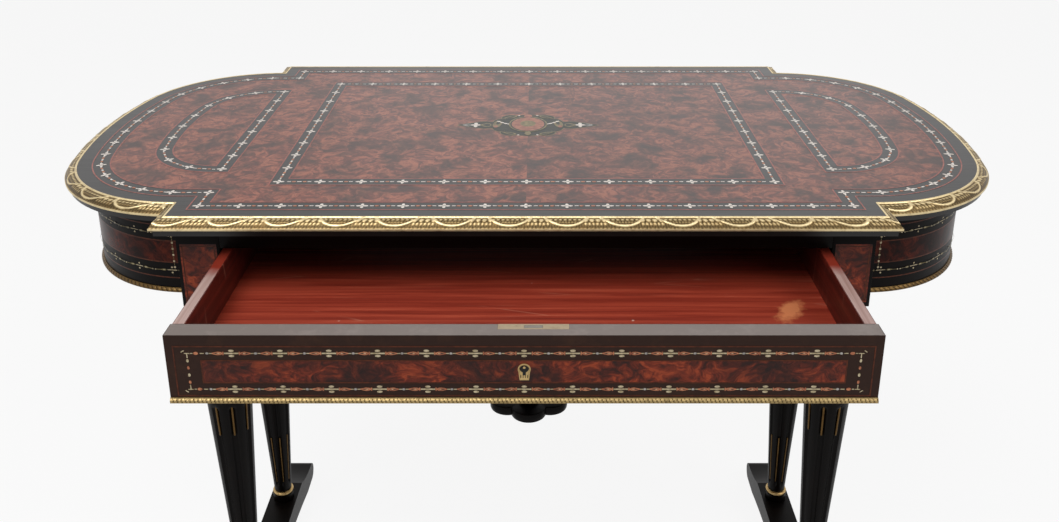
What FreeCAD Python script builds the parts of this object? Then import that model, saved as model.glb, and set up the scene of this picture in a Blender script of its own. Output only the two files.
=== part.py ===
import FreeCAD, Part
import math
import os

# Writing table: stepped centre section, D-shaped ends, one frieze drawer, twin turned columns at each end.
# Frame: +X along the length, front towards -Y, +Z up, millimetres. The sizes below describe the table
# about its own centre line; everything is moved along +Y at the end, so that the origin is the middle
# of the box around the table with its drawer open, on the floor.

# Overall
height = 760.0
floor_z = 0.0
cut_over = 2.0

# Plan of the top at the inner line of its metal edge
centre_half_length = 400.0
centre_half_depth = 306.0
end_projection = 182.0
end_step = 39.0
end_corner_r = 170.0
end_bow_r = 665.0

# Metal edge of the top, and the board that it runs round
edge_width = 15.0
edge_height = 12.0
edge_bead = 0.8
board_lip_height = 8.0
board_lip_width = 11.0
veneer = 1.2
border_width = 39.0
cartouche_half_length = 92.0
cartouche_half_depth = 56.0

# Case under the top, its plan set in from the edge's inner line
case_drop = 124.0
block_side_inset = 1.0
block_face_inset = 19.0
frieze_inset = 17.0
frieze_wall = 18.0
block_width = 50.0
top_rail_depth = 30.0
bottom_rail_depth = 33.0
bottom_rail_height = 12.0
rail_lift = 2.0
side_rail_wall = 20.0
end_bottom_wall = 18.0
base_height = 5.0
base_out = 3.5
back_wall = 22.0

# Drawer and what it runs on
drawer_top_drop = 50.0
drawer_open = 189.0
drawer_back_room = 52.0
drawer_front_wall = 22.0
drawer_side_wall = 13.0
drawer_back_wall = 12.0
drawer_bottom_wall = 6.0
drawer_bottom_lift = 8.0
drawer_back_drop = 8.0
drawer_front_gap = 0.7
drawer_side_gap = 0.5
drawer_side_set = 1.5
drawer_top_gap = 1.0
groove_depth = 5.0
runner_width = 22.0
stop_length = 40.0
stop_depth = 18.0
stop_height = 5.0
stop_offset = 160.0
panel_end_margin = 34.0
panel_top_margin = 29.0
panel_height = 24.0

# Lock in the drawer front
lock_offset = 9.0
lock_length = 60.0
lock_depth = 10.0
lock_height = 32.0
selvage_length = 70.0
selvage_wall = 1.5
bolt_width = 18.0
bolt_thickness = 5.0
bolt_height = 20.0
bolt_travel = 6.0
bolt_gap = 0.2
strike_play = 1.0
keyhole_drop = 37.0
keyhole_r = 2.6
keyhole_slot_width = 2.6
keyhole_slot_drop = 8.0
escutcheon_length = 14.0
escutcheon_height = 19.0
escutcheon_wall = 1.0
lock_screw_r = 1.5
lock_screw_length = 12.0

# Fixings that hold the top board down
fixing_r = 2.0
fixing_head_r = 4.0
fixing_head_height = 2.5
fixing_length = 42.0
fixing_pitch = 190.0

# Columns: vase, drum, ringed and fluted shaft
column_out = 22.0
column_y = 105.0
column_cap_half = 33.0
column_cap_height = 12.0
vase_r = 31.0
drum_top_drop = 290.0
drum_bottom_drop = 344.0
drum_r = 33.0
drum_groove = 2.0
ring_height = 8.0
ring_out = 3.0
shaft_top_r = 32.0
shaft_bottom_r = 14.0
shaft_bottom = 70.0
toe_r = 17.0
toe_ring_height = 6.0
tenon_r = 11.0
tenon_length = 14.0
toe_tenon_r = 9.0
toe_tenon_length = 22.0
flute_count = 8
flute_top_r = 4.6
flute_bottom_r = 2.6
flute_margin = 15.0
rod_share = 0.4
upper_rod_length = 49.0
lower_rod_top = 181.0
lower_rod_margin = 20.0

# Rails and stretcher between the columns
rail_drop = 320.0
rail_height = 44.0
rail_thickness = 22.0
rail_tenon_r = 8.0
rail_tenon_length = 14.0
pole_r = 15.0
pole_swell_r = 21.0
pole_tenon_length = 10.0
boss_half = 30.0
boss_chamfer = 5.0

# Lobed drop under the middle of the stretcher
neck_r = 20.0
neck_tenon_r = 8.0
neck_tenon_length = 16.0
lobe_r = 27.0
lobe_offset = 32.0
lobe_front_offset = 19.0
plate_top_drop = 441.5
plate_height = 14.0
plate_rim = 2.5
button_r = 14.0
button_height = 7.0

# Cross feet
foot_reach = 225.0
foot_width = 46.0
foot_centre_height = 50.0
foot_tip_height = 30.0
foot_flat = 140.0
foot_pad = 52.0
foot_arch = 15.0
glide_r = 15.0
glide_height = 4.0

# Shapes given as shares of the sizes that they follow
edge_profile_shares = {
    "bead_end": 0.15,
    "groove": 0.22,
    "groove_drop": 0.14,
    "swell": (0.66, 0.27),
    "lip": (0.95, 0.76),
    "lip_face": 0.82,
}
vase_shares = [
    (0.0, 0.62),
    (0.06, 0.60),
    (0.16, 0.46),
    (0.36, 0.80),
    (0.58, 1.0),
    (0.78, 0.72),
    (0.9, 0.5),
    (1.0, 0.66),
]
neck_shares = [(0.0, 0.9), (0.12, 0.78), (0.34, 0.42), (0.6, 0.62), (0.8, 1.0), (1.0, 0.7)]
cartouche_lobe_share = 0.42
cartouche_oval_share = 1.3
escutcheon_leg_share = 0.8
foot_dip_shares = (0.45, 0.22)
flute_phase_share = 0.5

# Places that follow from the sizes above
end_reach = centre_half_length + end_projection
end_half_depth = centre_half_depth - end_step
column_x = centre_half_length + column_out
surface_z = height - edge_bead
board_top = surface_z - veneer
lip_top = height - edge_height
board_bottom = lip_top - board_lip_height
case_bottom = height - case_drop
block_side = centre_half_length - block_side_inset
block_face = centre_half_depth - block_face_inset
block_inner = block_side - block_width
frieze_half = end_half_depth - frieze_inset
frieze_inner_half = frieze_half - frieze_wall
inside_bottom = case_bottom + rail_lift
drawer_top = height - drawer_top_drop
drawer_half = block_inner - drawer_front_gap
side_outer = drawer_half - drawer_side_set
side_inner = side_outer - drawer_side_wall
rail_inner = side_outer + drawer_side_gap
runner_top = inside_bottom + bottom_rail_height
front_inner = -block_face + drawer_front_wall
drawer_back_y = block_face - back_wall - drawer_back_room
drawer_bottom_z = runner_top + drawer_bottom_lift
lock_y = front_inner - lock_depth / 2.0
drum_top = height - drum_top_drop
drum_bottom = height - drum_bottom_drop
shaft_top = drum_bottom - ring_height
rail_z = height - rail_drop
plate_top = height - plate_top_drop
drawer_out_y = -(block_face + base_out + drawer_open)
table_y = -(drawer_out_y + centre_half_depth + edge_width) / 2.0

saved = []


def vec(x, y, z):
    return FreeCAD.Vector(x, y, z)


def box(x0, x1, y0, y1, z0, z1):
    """Block between two opposite corners."""
    return Part.makeBox(x1 - x0, y1 - y0, z1 - z0, vec(x0, y0, z0))


def rod(x, y, z0, z1, r):
    """Upright cylinder."""
    return Part.makeCylinder(r, z1 - z0, vec(x, y, z0), vec(0, 0, 1))


def fuse(shapes):
    """One solid from several that touch or overlap."""
    whole = shapes[0]
    for shape in shapes[1:]:
        whole = whole.fuse(shape)
    return whole.removeSplitter()


def cut(shape, tools):
    """Shape with every tool taken away."""
    for tool in tools:
        shape = shape.cut(tool)
    return shape


def mirrored_x(shape):
    return shape.mirror(vec(0, 0, 0), vec(1, 0, 0))


def mirrored_y(shape):
    return shape.mirror(vec(0, 0, 0), vec(0, 1, 0))


def opened(shape):
    """A drawer piece, drawn closed, moved to where the open drawer holds it."""
    moved = shape.copy()
    moved.translate(vec(0, -drawer_open, 0))
    return moved


def save(name, shape):
    """Move a piece to the table's place in the shared frame and write it."""
    moved = shape.copy()
    moved.translate(vec(0, table_y, 0))
    moved.exportStep("parts/" + name + ".step")
    saved.append(name)


def end_curve(reach, half_depth, corner_r, bow_r):
    """Centres and joining point of the two arcs of a D-shaped end on the +X side."""
    bow_x = reach - bow_r
    corner_y = half_depth - corner_r
    corner_x = bow_x + math.sqrt((bow_r - corner_r) ** 2 - corner_y ** 2)
    turn = math.atan2(corner_y, corner_x - bow_x)
    return bow_x, corner_x, corner_y, turn


bow_x, corner_x, corner_y, bow_turn = end_curve(end_reach, end_half_depth, end_corner_r, end_bow_r)


def end_edges(grow, z):
    """Arcs of the +X end, front to back, for the plan grown outwards by grow."""
    r = end_corner_r + grow
    big = end_bow_r + grow
    middle = (bow_turn + math.pi / 2.0) / 2.0
    start = vec(corner_x, -(corner_y + r), z)
    corner_mid = vec(corner_x + r * math.cos(middle), -(corner_y + r * math.sin(middle)), z)
    join = vec(bow_x + big * math.cos(bow_turn), -big * math.sin(bow_turn), z)
    tip = vec(bow_x + big, 0, z)
    join_back = vec(join.x, -join.y, z)
    back_mid = vec(corner_mid.x, -corner_mid.y, z)
    end = vec(start.x, -start.y, z)
    return [
        Part.Arc(start, corner_mid, join).toShape(),
        Part.Arc(join, tip, join_back).toShape(),
        Part.Arc(join_back, back_mid, end).toShape(),
    ]


def end_plan(grow, from_x, z0, z1):
    """Solid D-shaped end, from the plane x = from_x outwards."""
    edges = end_edges(grow, z0)
    first = edges[0].Vertexes[0].Point
    last = edges[2].Vertexes[1].Point
    corners = [last, vec(from_x, last.y, z0), vec(from_x, first.y, z0), first]
    lines = [Part.LineSegment(a, b).toShape() for a, b in zip(corners, corners[1:])]
    face = Part.Face(Part.Wire(edges + lines))
    return face.extrude(vec(0, 0, z1 - z0))


def stepped_plan(grow, half_length, half_depth, end_grow, z0, z1):
    """Solid with the table's stepped plan: a rectangle between two D-shaped ends."""
    middle = box(
        -half_length - grow, half_length + grow, -half_depth - grow, half_depth + grow, z0, z1
    )
    end = end_plan(end_grow + grow, 0, z0, z1)
    return fuse([middle, end, mirrored_x(end)])


def top_plan(grow, z0, z1):
    """Plan of the top at the metal edge's inner line, grown outwards."""
    return stepped_plan(grow, centre_half_length, centre_half_depth, 0, z0, z1)


def case_plan(grow, z0, z1):
    """Plan of the case under the top, grown outwards."""
    return stepped_plan(grow, block_side, block_face, -frieze_inset, z0, z1)


def top_pieces():
    """Board, its veneers and the cartouche."""
    core = top_plan(0, lip_top, board_top)
    lip = top_plan(board_lip_width, board_bottom, lip_top)
    board = fuse([core, lip])
    inner = top_plan(-border_width, board_top, surface_z)
    border = top_plan(0, board_top, surface_z).cut(inner)
    joint_x = centre_half_length - border_width
    joint_y = centre_half_depth - border_width
    cartouche = cartouche_plan(board_top, surface_z)
    centre = box(-joint_x, joint_x, -joint_y, joint_y, board_top, surface_z).cut(cartouche)
    right_end = inner.common(
        box(joint_x, end_reach, -joint_y, joint_y, board_top, surface_z)
    )
    save("border_banding", border)
    save("centre_veneer", centre)
    save("right_end_veneer", right_end)
    save("left_end_veneer", mirrored_x(right_end))
    save("cartouche", cartouche)
    return board


def cartouche_plan(z0, z1):
    """Inlaid panel in the middle of the top: an oval with a pointed lobe at each end."""
    r = cartouche_half_depth * cartouche_lobe_share
    oval = cartouche_half_depth * cartouche_oval_share
    rim = Part.Ellipse(vec(0, 0, z0), oval, cartouche_half_depth).toShape()
    middle = Part.Face(Part.Wire([rim])).extrude(vec(0, 0, z1 - z0))
    tip = cartouche_half_length
    points = [vec(-tip, 0, z0), vec(0, -r, z0), vec(tip, 0, z0), vec(0, r, z0), vec(-tip, 0, z0)]
    arms = Part.Face(Part.makePolygon(points)).extrude(vec(0, 0, z1 - z0))
    return fuse([middle, arms])


def edge_section(x, y, out_x, out_y):
    """Section of the metal edge at a point of its inner line, looking along the edge."""
    shares = edge_profile_shares

    def at(out_share, drop_share):
        out = edge_width * out_share
        return vec(x + out_x * out, y + out_y * out, height - edge_height * drop_share)

    bead = edge_bead / edge_height
    foot = at(0, 1)
    inner = at(0, bead)
    crest = at(shares["bead_end"] / 2.0, 0)
    bead_end = at(shares["bead_end"], bead)
    groove = at(shares["groove"], shares["groove_drop"])
    swell = at(*shares["swell"])
    lip = at(*shares["lip"])
    face = at(1, shares["lip_face"])
    corner = at(1, 1)
    edges = [
        Part.LineSegment(foot, inner).toShape(),
        Part.Arc(inner, crest, bead_end).toShape(),
        Part.LineSegment(bead_end, groove).toShape(),
        Part.Arc(groove, swell, lip).toShape(),
        Part.LineSegment(lip, face).toShape(),
        Part.LineSegment(face, corner).toShape(),
        Part.LineSegment(corner, foot).toShape(),
    ]
    return Part.Face(Part.Wire(edges))


def edge_pieces():
    """Four mitred lengths of metal edge: front and back with their returns, and the two ends."""
    x = centre_half_length
    y = centre_half_depth
    run = x + edge_width
    long_bar = edge_section(-run, -y, 0, -1).extrude(vec(run * 2.0, 0, 0))
    far = edge_width * 2.0
    front_zone = zone([(-x - far, -y - far), (x + far, -y - far), (x, -y), (-x, -y)])
    return_zone = zone(
        [(x, -y), (x + far, -y - far), (x + far, -end_half_depth - far), (x, -end_half_depth)]
    )
    long_bar = long_bar.common(front_zone)
    side = edge_section(x, -(y + edge_width), 1, 0)
    side = side.extrude(vec(0, y + edge_width - end_half_depth, 0)).common(return_zone)
    front = fuse([long_bar, side, mirrored_x(side)])
    save("front_edge_moulding", front)
    save("back_edge_moulding", mirrored_y(front))
    right = end_edge(return_zone)
    save("right_edge_moulding", right)
    save("left_edge_moulding", mirrored_x(right))


def zone(corners):
    """Upright prism over a plan polygon, from the floor to above the top."""
    points = [vec(x, y, floor_z) for x, y in corners]
    face = Part.Face(Part.makePolygon(points + points[:1]))
    return face.extrude(vec(0, 0, height + cut_over))


def end_edge(return_zone):
    """Metal edge round the +X end: two corner turns, the shallow bow and the short straights."""
    axis = vec(0, 0, 1)
    start = edge_section(corner_x, -end_half_depth, 0, -1)
    corner_turn = math.degrees(math.pi / 2.0 - bow_turn)
    corner = start.revolve(vec(corner_x, -corner_y, 0), axis, corner_turn)
    bow_at = vec(
        bow_x + end_bow_r * math.cos(bow_turn), -end_bow_r * math.sin(bow_turn), 0
    )
    bow_section = edge_section(bow_at.x, bow_at.y, math.cos(bow_turn), -math.sin(bow_turn))
    bow = bow_section.revolve(vec(bow_x, 0, 0), axis, math.degrees(bow_turn * 2.0))
    straight = edge_section(centre_half_length, -end_half_depth, 0, -1)
    straight = straight.extrude(vec(corner_x - centre_half_length, 0, 0))
    whole = fuse([straight, corner, bow, mirrored_y(corner), mirrored_y(straight)])
    whole = whole.cut(return_zone)
    return whole.cut(mirrored_y(return_zone))


def case_pieces():
    """Blocks, rails, friezes, end bottoms and base mouldings."""
    block = box(block_inner, block_side, -block_face, -frieze_inner_half, case_bottom, board_bottom)
    save("front_right_block", block)
    save("front_left_block", mirrored_x(block))
    save("back_right_block", mirrored_y(block))
    save("back_left_block", mirrored_x(mirrored_y(block)))

    top_rail = box(
        -block_inner,
        block_inner,
        -block_face,
        -block_face + top_rail_depth,
        drawer_top + drawer_top_gap,
        board_bottom,
    )
    save("front_top_rail", top_rail.cut(strike_mortise()))
    save(
        "front_bottom_rail",
        box(
            -block_inner,
            block_inner,
            front_inner,
            front_inner + bottom_rail_depth,
            inside_bottom,
            runner_top,
        ),
    )
    save(
        "back_frieze",
        box(-block_inner, block_inner, block_face - back_wall, block_face, case_bottom, board_bottom),
    )

    outer = end_plan(-frieze_inset, block_side, case_bottom, board_bottom)
    inner = end_plan(-frieze_inset - frieze_wall, block_side, case_bottom, board_bottom)
    frieze = outer.cut(inner)
    save("right_end_frieze", frieze)
    save("left_end_frieze", mirrored_x(frieze))

    side_rail = box(
        rail_inner,
        rail_inner + side_rail_wall,
        -frieze_inner_half,
        frieze_inner_half,
        inside_bottom,
        board_bottom,
    )
    save("right_side_rail", side_rail)
    save("left_side_rail", mirrored_x(side_rail))

    bottom = end_plan(
        -frieze_inset - frieze_wall,
        rail_inner + side_rail_wall,
        inside_bottom,
        inside_bottom + end_bottom_wall,
    )
    holes = [
        rod(column_x, y, inside_bottom - cut_over, inside_bottom + tenon_length, tenon_r)
        for y in (-column_y, column_y)
    ]
    bottom = cut(bottom, holes)
    save("right_end_bottom", bottom)
    save("left_end_bottom", mirrored_x(bottom))

    strip = case_plan(base_out, case_bottom, case_bottom + base_height)
    strip = strip.cut(case_plan(0, case_bottom, case_bottom + base_height))
    far = end_reach + edge_width
    right = strip.common(box(block_inner, far, -far, far, case_bottom, height))
    back = strip.common(box(-block_inner, block_inner, 0, far, case_bottom, height))
    save("right_base_moulding", right)
    save("left_base_moulding", mirrored_x(right))
    save("back_base_moulding", back)


def strike_mortise():
    """Pocket in the top rail that the lock bolt rises into when the drawer is shut."""
    half = bolt_width / 2.0 + strike_play
    depth = bolt_thickness / 2.0 + strike_play
    return box(
        lock_offset - half,
        lock_offset + half,
        lock_y - depth,
        lock_y + depth,
        drawer_top,
        drawer_top + bolt_travel + strike_play * 2.0,
    )


def drawer_supports(board):
    """Runners, kickers and stops, and the screws that tie kickers and top board together."""
    runner = box(
        rail_inner - runner_width,
        rail_inner,
        front_inner + bottom_rail_depth,
        block_face - back_wall,
        inside_bottom,
        runner_top,
    )
    save("right_drawer_runner", runner)
    save("left_drawer_runner", mirrored_x(runner))

    kicker_bottom = drawer_top + drawer_top_gap
    kicker = box(
        rail_inner - runner_width,
        rail_inner,
        -block_face + top_rail_depth,
        block_face - back_wall,
        kicker_bottom,
        board_bottom,
    )
    screws = []
    for x in (-1, 1):
        for step in (-1, 0, 1):
            place_x = x * (rail_inner - runner_width / 2.0)
            place_y = step * fixing_pitch
            head = rod(
                place_x, place_y, kicker_bottom, kicker_bottom + fixing_head_height, fixing_head_r
            )
            shank = rod(place_x, place_y, kicker_bottom, kicker_bottom + fixing_length, fixing_r)
            screws.append(fuse([head, shank]))
    save("drawer_kickers", Part.makeCompound([cut(k, screws) for k in (kicker, mirrored_x(kicker))]))
    save("top_screws", Part.makeCompound(screws))
    save("top_board", cut(board, screws))

    stops = [
        box(
            x - stop_length / 2.0,
            x + stop_length / 2.0,
            front_inner,
            front_inner + stop_depth,
            runner_top,
            runner_top + stop_height,
        )
        for x in (-stop_offset, stop_offset)
    ]
    save("drawer_stops", Part.makeCompound(stops))


def drawer_pieces():
    """Front with its veneer panel, sides, back, bottom and base moulding."""
    panel = box(
        -drawer_half + panel_end_margin,
        drawer_half - panel_end_margin,
        -block_face,
        -block_face + veneer,
        drawer_top - panel_top_margin - panel_height,
        drawer_top - panel_top_margin,
    )
    front = box(-drawer_half, drawer_half, -block_face, front_inner, case_bottom, drawer_top)
    bottom = box(
        -side_inner - groove_depth,
        side_inner + groove_depth,
        front_inner - groove_depth,
        drawer_back_y,
        drawer_bottom_z,
        drawer_bottom_z + drawer_bottom_wall,
    )
    lock_set = lock_shapes()
    plate = escutcheon_blank()
    hole = keyhole(-block_face - cut_over, front_inner)
    front = cut(front, [panel, bottom, plate, hole] + lock_set)
    panel = cut(panel, [plate, hole])
    side = box(side_inner, side_outer, front_inner, drawer_back_y, runner_top, drawer_top)
    side = side.cut(bottom)
    back = box(
        -side_inner,
        side_inner,
        drawer_back_y - drawer_back_wall,
        drawer_back_y,
        drawer_bottom_z + drawer_bottom_wall,
        drawer_top - drawer_back_drop,
    )
    moulding = box(
        -drawer_half,
        drawer_half,
        -block_face - base_out,
        -block_face,
        case_bottom,
        case_bottom + base_height,
    )
    save("drawer_front", opened(front))
    save("drawer_front_panel", opened(panel))
    save("drawer_right_side", opened(side))
    save("drawer_left_side", opened(mirrored_x(side)))
    save("drawer_back", opened(back))
    save("drawer_bottom", opened(bottom))
    save("drawer_base_moulding", opened(moulding))
    save("escutcheon", opened(plate.cut(hole)))


def keyhole(y0, y1):
    """Round hole with a slot below it, through the drawer front."""
    z = drawer_top - keyhole_drop
    round_part = Part.makeCylinder(keyhole_r, y1 - y0, vec(0, y0, z), vec(0, 1, 0))
    half = keyhole_slot_width / 2.0
    slot = box(-half, half, y0, y1, z - keyhole_slot_drop, z)
    return round_part.fuse(slot)


def escutcheon_blank():
    """Metal keyhole plate let in flush: a round head on a rectangle."""
    z = drawer_top - keyhole_drop
    r = escutcheon_length / 2.0
    head = Part.makeCylinder(r, escutcheon_wall, vec(0, -block_face, z), vec(0, 1, 0))
    half = r * escutcheon_leg_share
    low = z + r - escutcheon_height
    leg = box(-half, half, -block_face, -block_face + escutcheon_wall, low, z)
    return fuse([head, leg])


def lock_blank():
    """Outer form of the lock: a case let into the front and a plate in its top edge."""
    half = lock_length / 2.0
    case = box(
        lock_offset - half,
        lock_offset + half,
        front_inner - lock_depth,
        front_inner,
        drawer_top - lock_height,
        drawer_top,
    )
    wide = selvage_length / 2.0
    plate = box(
        lock_offset - wide,
        lock_offset + wide,
        front_inner - lock_depth,
        front_inner,
        drawer_top - selvage_wall,
        drawer_top,
    )
    return fuse([case, plate])


def lock_screw_shapes():
    """Two countersunk screws through the ends of the lock's top plate."""
    x = (selvage_length + lock_length) / 4.0
    return [
        rod(
            lock_offset + side * x,
            lock_y,
            drawer_top - lock_screw_length,
            drawer_top,
            lock_screw_r,
        )
        for side in (-1, 1)
    ]


def lock_shapes():
    """Everything that the drawer front is hollowed for at its lock."""
    return [lock_blank()] + lock_screw_shapes()


def lock_pieces():
    """Lock case with its plate, sliding bolt and screws."""
    half = bolt_width / 2.0
    thick = bolt_thickness / 2.0
    low = drawer_top - bolt_height
    bolt = box(lock_offset - half, lock_offset + half, lock_y - thick, lock_y + thick, low, drawer_top)
    room = box(
        lock_offset - half - bolt_gap,
        lock_offset + half + bolt_gap,
        lock_y - thick - bolt_gap,
        lock_y + thick + bolt_gap,
        low - bolt_gap,
        drawer_top + cut_over,
    )
    screws = lock_screw_shapes()
    hole = keyhole(front_inner - lock_depth - cut_over, front_inner - lock_depth / 2.0)
    save("lock_case", opened(cut(lock_blank(), [room, hole] + screws)))
    save("lock_bolt", opened(bolt))
    save("lock_screws", Part.makeCompound([opened(s) for s in screws]))


def turned_run(shares, z0, z1, radius):
    """Solid of revolution about the Z axis through a smooth run of height and radius shares."""
    points = [vec(radius * r, 0, z0 + (z1 - z0) * h) for h, r in shares]
    curve = Part.BSplineCurve()
    curve.interpolate(points)
    base = vec(0, 0, z0)
    top = vec(0, 0, z1)
    edges = [
        Part.LineSegment(base, points[0]).toShape(),
        curve.toShape(),
        Part.LineSegment(points[-1], top).toShape(),
        Part.LineSegment(top, base).toShape(),
    ]
    face = Part.Face(Part.Wire(edges))
    return face.revolve(vec(0, 0, 0), vec(0, 0, 1), 360)


def shaft_radius(z):
    """Radius of the tapering shaft at a height."""
    share = (shaft_top - z) / (shaft_top - shaft_bottom)
    return shaft_top_r + (shaft_bottom_r - shaft_top_r) * share


def along_flute(turn, z_high, z_low, r_high, r_low, inset_share):
    """Tapering round bar that follows one flute down the shaft's slanting surface."""

    def at(z, r):
        radius = shaft_radius(z) - r * inset_share
        return vec(radius * math.cos(turn), radius * math.sin(turn), z)

    high = at(z_high, r_high)
    low = at(z_low, r_low)
    run = high - low
    return Part.makeCone(r_low, r_high, run.Length, low, run)


def flute_radius(z):
    """Radius of a flute's hollow at a height."""
    share = (shaft_top - z) / (shaft_top - shaft_bottom)
    return flute_top_r + (flute_bottom_r - flute_top_r) * share


def flute_turns():
    """Angle of each flute about the column's axis, with a ridge between two of them facing the front."""
    pitch = 2.0 * math.pi / flute_count
    return [pitch * (i + flute_phase_share) - math.pi / 2.0 for i in range(flute_count)]


def column_shape():
    """One turned column about its own axis: cap, vase, drum, fluted shaft and toe."""
    cap_bottom = inside_bottom - column_cap_height
    cap = box(
        -column_cap_half, column_cap_half, -column_cap_half, column_cap_half, cap_bottom, inside_bottom
    )
    tenon = rod(0, 0, inside_bottom, inside_bottom + tenon_length, tenon_r)
    vase = turned_run(vase_shares, drum_top, cap_bottom, vase_r)
    drum = rod(0, 0, drum_bottom, drum_top, drum_r)
    neck = rod(0, 0, shaft_top, drum_bottom, shaft_top_r - drum_groove)
    shaft = Part.makeCone(
        shaft_bottom_r, shaft_top_r, shaft_top - shaft_bottom, vec(0, 0, shaft_bottom), vec(0, 0, 1)
    )
    flutes = []
    high = shaft_top - flute_margin
    low = shaft_bottom + flute_margin
    for turn in flute_turns():
        flutes.append(along_flute(turn, high, low, flute_radius(high), flute_radius(low), 0))
    shaft = cut(shaft, flutes)
    toe = rod(0, 0, foot_centre_height, shaft_bottom - toe_ring_height, toe_r)
    toe_neck = rod(0, 0, foot_centre_height, shaft_bottom, shaft_bottom_r - drum_groove)
    toe_tenon = rod(0, 0, foot_centre_height - toe_tenon_length, foot_centre_height, toe_tenon_r)
    return fuse([cap, tenon, vase, drum, neck, shaft, toe, toe_neck, toe_tenon])


def column_metal():
    """Metal of one column: a ring above the shaft, a ring at the toe, and rods in the flutes."""
    upper_in = shaft_top_r - drum_groove
    lower_in = shaft_bottom_r - drum_groove
    upper = rod(0, 0, shaft_top, drum_bottom, shaft_top_r + ring_out)
    upper = upper.cut(rod(0, 0, shaft_top - cut_over, drum_bottom + cut_over, upper_in))
    lower = rod(0, 0, shaft_bottom - toe_ring_height, shaft_bottom, toe_r)
    lower = lower.cut(
        rod(0, 0, shaft_bottom - toe_ring_height - cut_over, shaft_bottom + cut_over, lower_in)
    )
    rods = [upper, lower]
    rod_top = shaft_top - flute_margin
    runs = [
        (rod_top, rod_top - upper_rod_length),
        (lower_rod_top, shaft_bottom + lower_rod_margin),
    ]
    for turn in flute_turns():
        for high, low in runs:
            r_high = flute_radius(high) * rod_share
            r_low = flute_radius(low) * rod_share
            seat = 1.0 / rod_share - 1.0
            rods.append(along_flute(turn, high, low, r_high, r_low, seat))
    return Part.makeCompound(rods)


def columns_and_rails():
    """Four columns, the cross rail of each pair, the long stretcher and its lobed drop."""
    column = column_shape()
    metal = column_metal()
    for x_name, x_side in (("left", -1), ("right", 1)):
        for y_name, y_side in (("front", -1), ("back", 1)):
            place = vec(x_side * column_x, y_side * column_y, 0)
            name = y_name + "_" + x_name + "_column"
            tenon_start = vec(place.x, place.y - y_side * (drum_r - rail_tenon_length), rail_z)
            socket = Part.makeCylinder(
                rail_tenon_r, drum_r * 2.0, tenon_start, vec(0, -y_side, 0)
            )
            wood = column.copy()
            wood.translate(place)
            save(name, wood.cut(socket))
            brass = metal.copy()
            brass.translate(place)
            save(name + "_metal", brass)

        reach = column_y - drum_r + rail_tenon_length
        body = box(
            x_side * column_x - rail_thickness / 2.0,
            x_side * column_x + rail_thickness / 2.0,
            -column_y,
            column_y,
            rail_z - rail_height / 2.0,
            rail_z + rail_height / 2.0,
        )
        for y_side in (-1, 1):
            body = body.cut(rod(x_side * column_x, y_side * column_y, floor_z, height, drum_r))
        tenons = Part.makeCylinder(
            rail_tenon_r, reach * 2.0, vec(x_side * column_x, -reach, rail_z), vec(0, 1, 0)
        )
        pole_socket = Part.makeCylinder(
            rail_tenon_r,
            pole_tenon_length,
            vec(x_side * (column_x - rail_thickness / 2.0), 0, rail_z),
            vec(x_side, 0, 0),
        )
        save(x_name + "_cross_rail", body.fuse(tenons).removeSplitter().cut(pole_socket))

    half = column_x - rail_thickness / 2.0
    swell = Part.makeCone(pole_r, pole_swell_r, half, vec(-half, 0, rail_z), vec(1, 0, 0))
    tenon_bar = Part.makeCylinder(
        rail_tenon_r,
        (half + pole_tenon_length) * 2.0,
        vec(-half - pole_tenon_length, 0, rail_z),
        vec(1, 0, 0),
    )
    boss = box(-boss_half, boss_half, -boss_half, boss_half, rail_z - boss_half, rail_z + boss_half)
    boss = boss.makeChamfer(boss_chamfer, boss.Edges)
    pole = fuse([swell, mirrored_x(swell), tenon_bar]).cut(boss)
    arms = pole.Solids
    save("left_stretcher_pole", min(arms, key=lambda s: s.CenterOfMass.x))
    save("right_stretcher_pole", max(arms, key=lambda s: s.CenterOfMass.x))
    boss_bottom = rail_z - boss_half
    socket = rod(0, 0, boss_bottom - cut_over, boss_bottom + neck_tenon_length, neck_tenon_r)
    save("stretcher_boss", boss.cut(socket))
    save("lobed_drop", drop_shape(boss_bottom))


def drop_shape(z_top):
    """Turned neck, four-lobed plate with a raised rim, and a button under it."""
    tenon = rod(0, 0, z_top, z_top + neck_tenon_length, neck_tenon_r)
    neck = turned_run(neck_shares, plate_top, z_top, neck_r)
    low = plate_top - plate_height
    lobes = []
    pans = []
    for x, y in ((1, 0), (-1, 0), (0, 1), (0, -1)):
        lobes.append(rod(x * lobe_offset, y * lobe_front_offset, low, plate_top, lobe_r))
        pans.append(
            rod(
                x * lobe_offset,
                y * lobe_front_offset,
                plate_top - plate_rim,
                plate_top,
                lobe_r - plate_rim * 2.0,
            )
        )
    lobes.append(
        box(-lobe_offset, lobe_offset, -lobe_front_offset, lobe_front_offset, low, plate_top)
    )
    square = lobes[-1].makeFillet(lobe_r / 2.0, [e for e in lobes[-1].Edges if is_upright(e)])
    lobes[-1] = square
    plate = cut(fuse(lobes), pans)
    core = rod(0, 0, low, plate_top, neck_r)
    button = Part.makeCone(button_r / 2.0, button_r, button_height, vec(0, 0, low - button_height))
    return fuse([tenon, neck, core, plate, button])


def is_upright(edge):
    """True for an edge that runs along Z."""
    first = edge.Vertexes[0].Point
    last = edge.Vertexes[-1].Point
    return abs(first.x - last.x) + abs(first.y - last.y) < abs(first.z - last.z)


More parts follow.
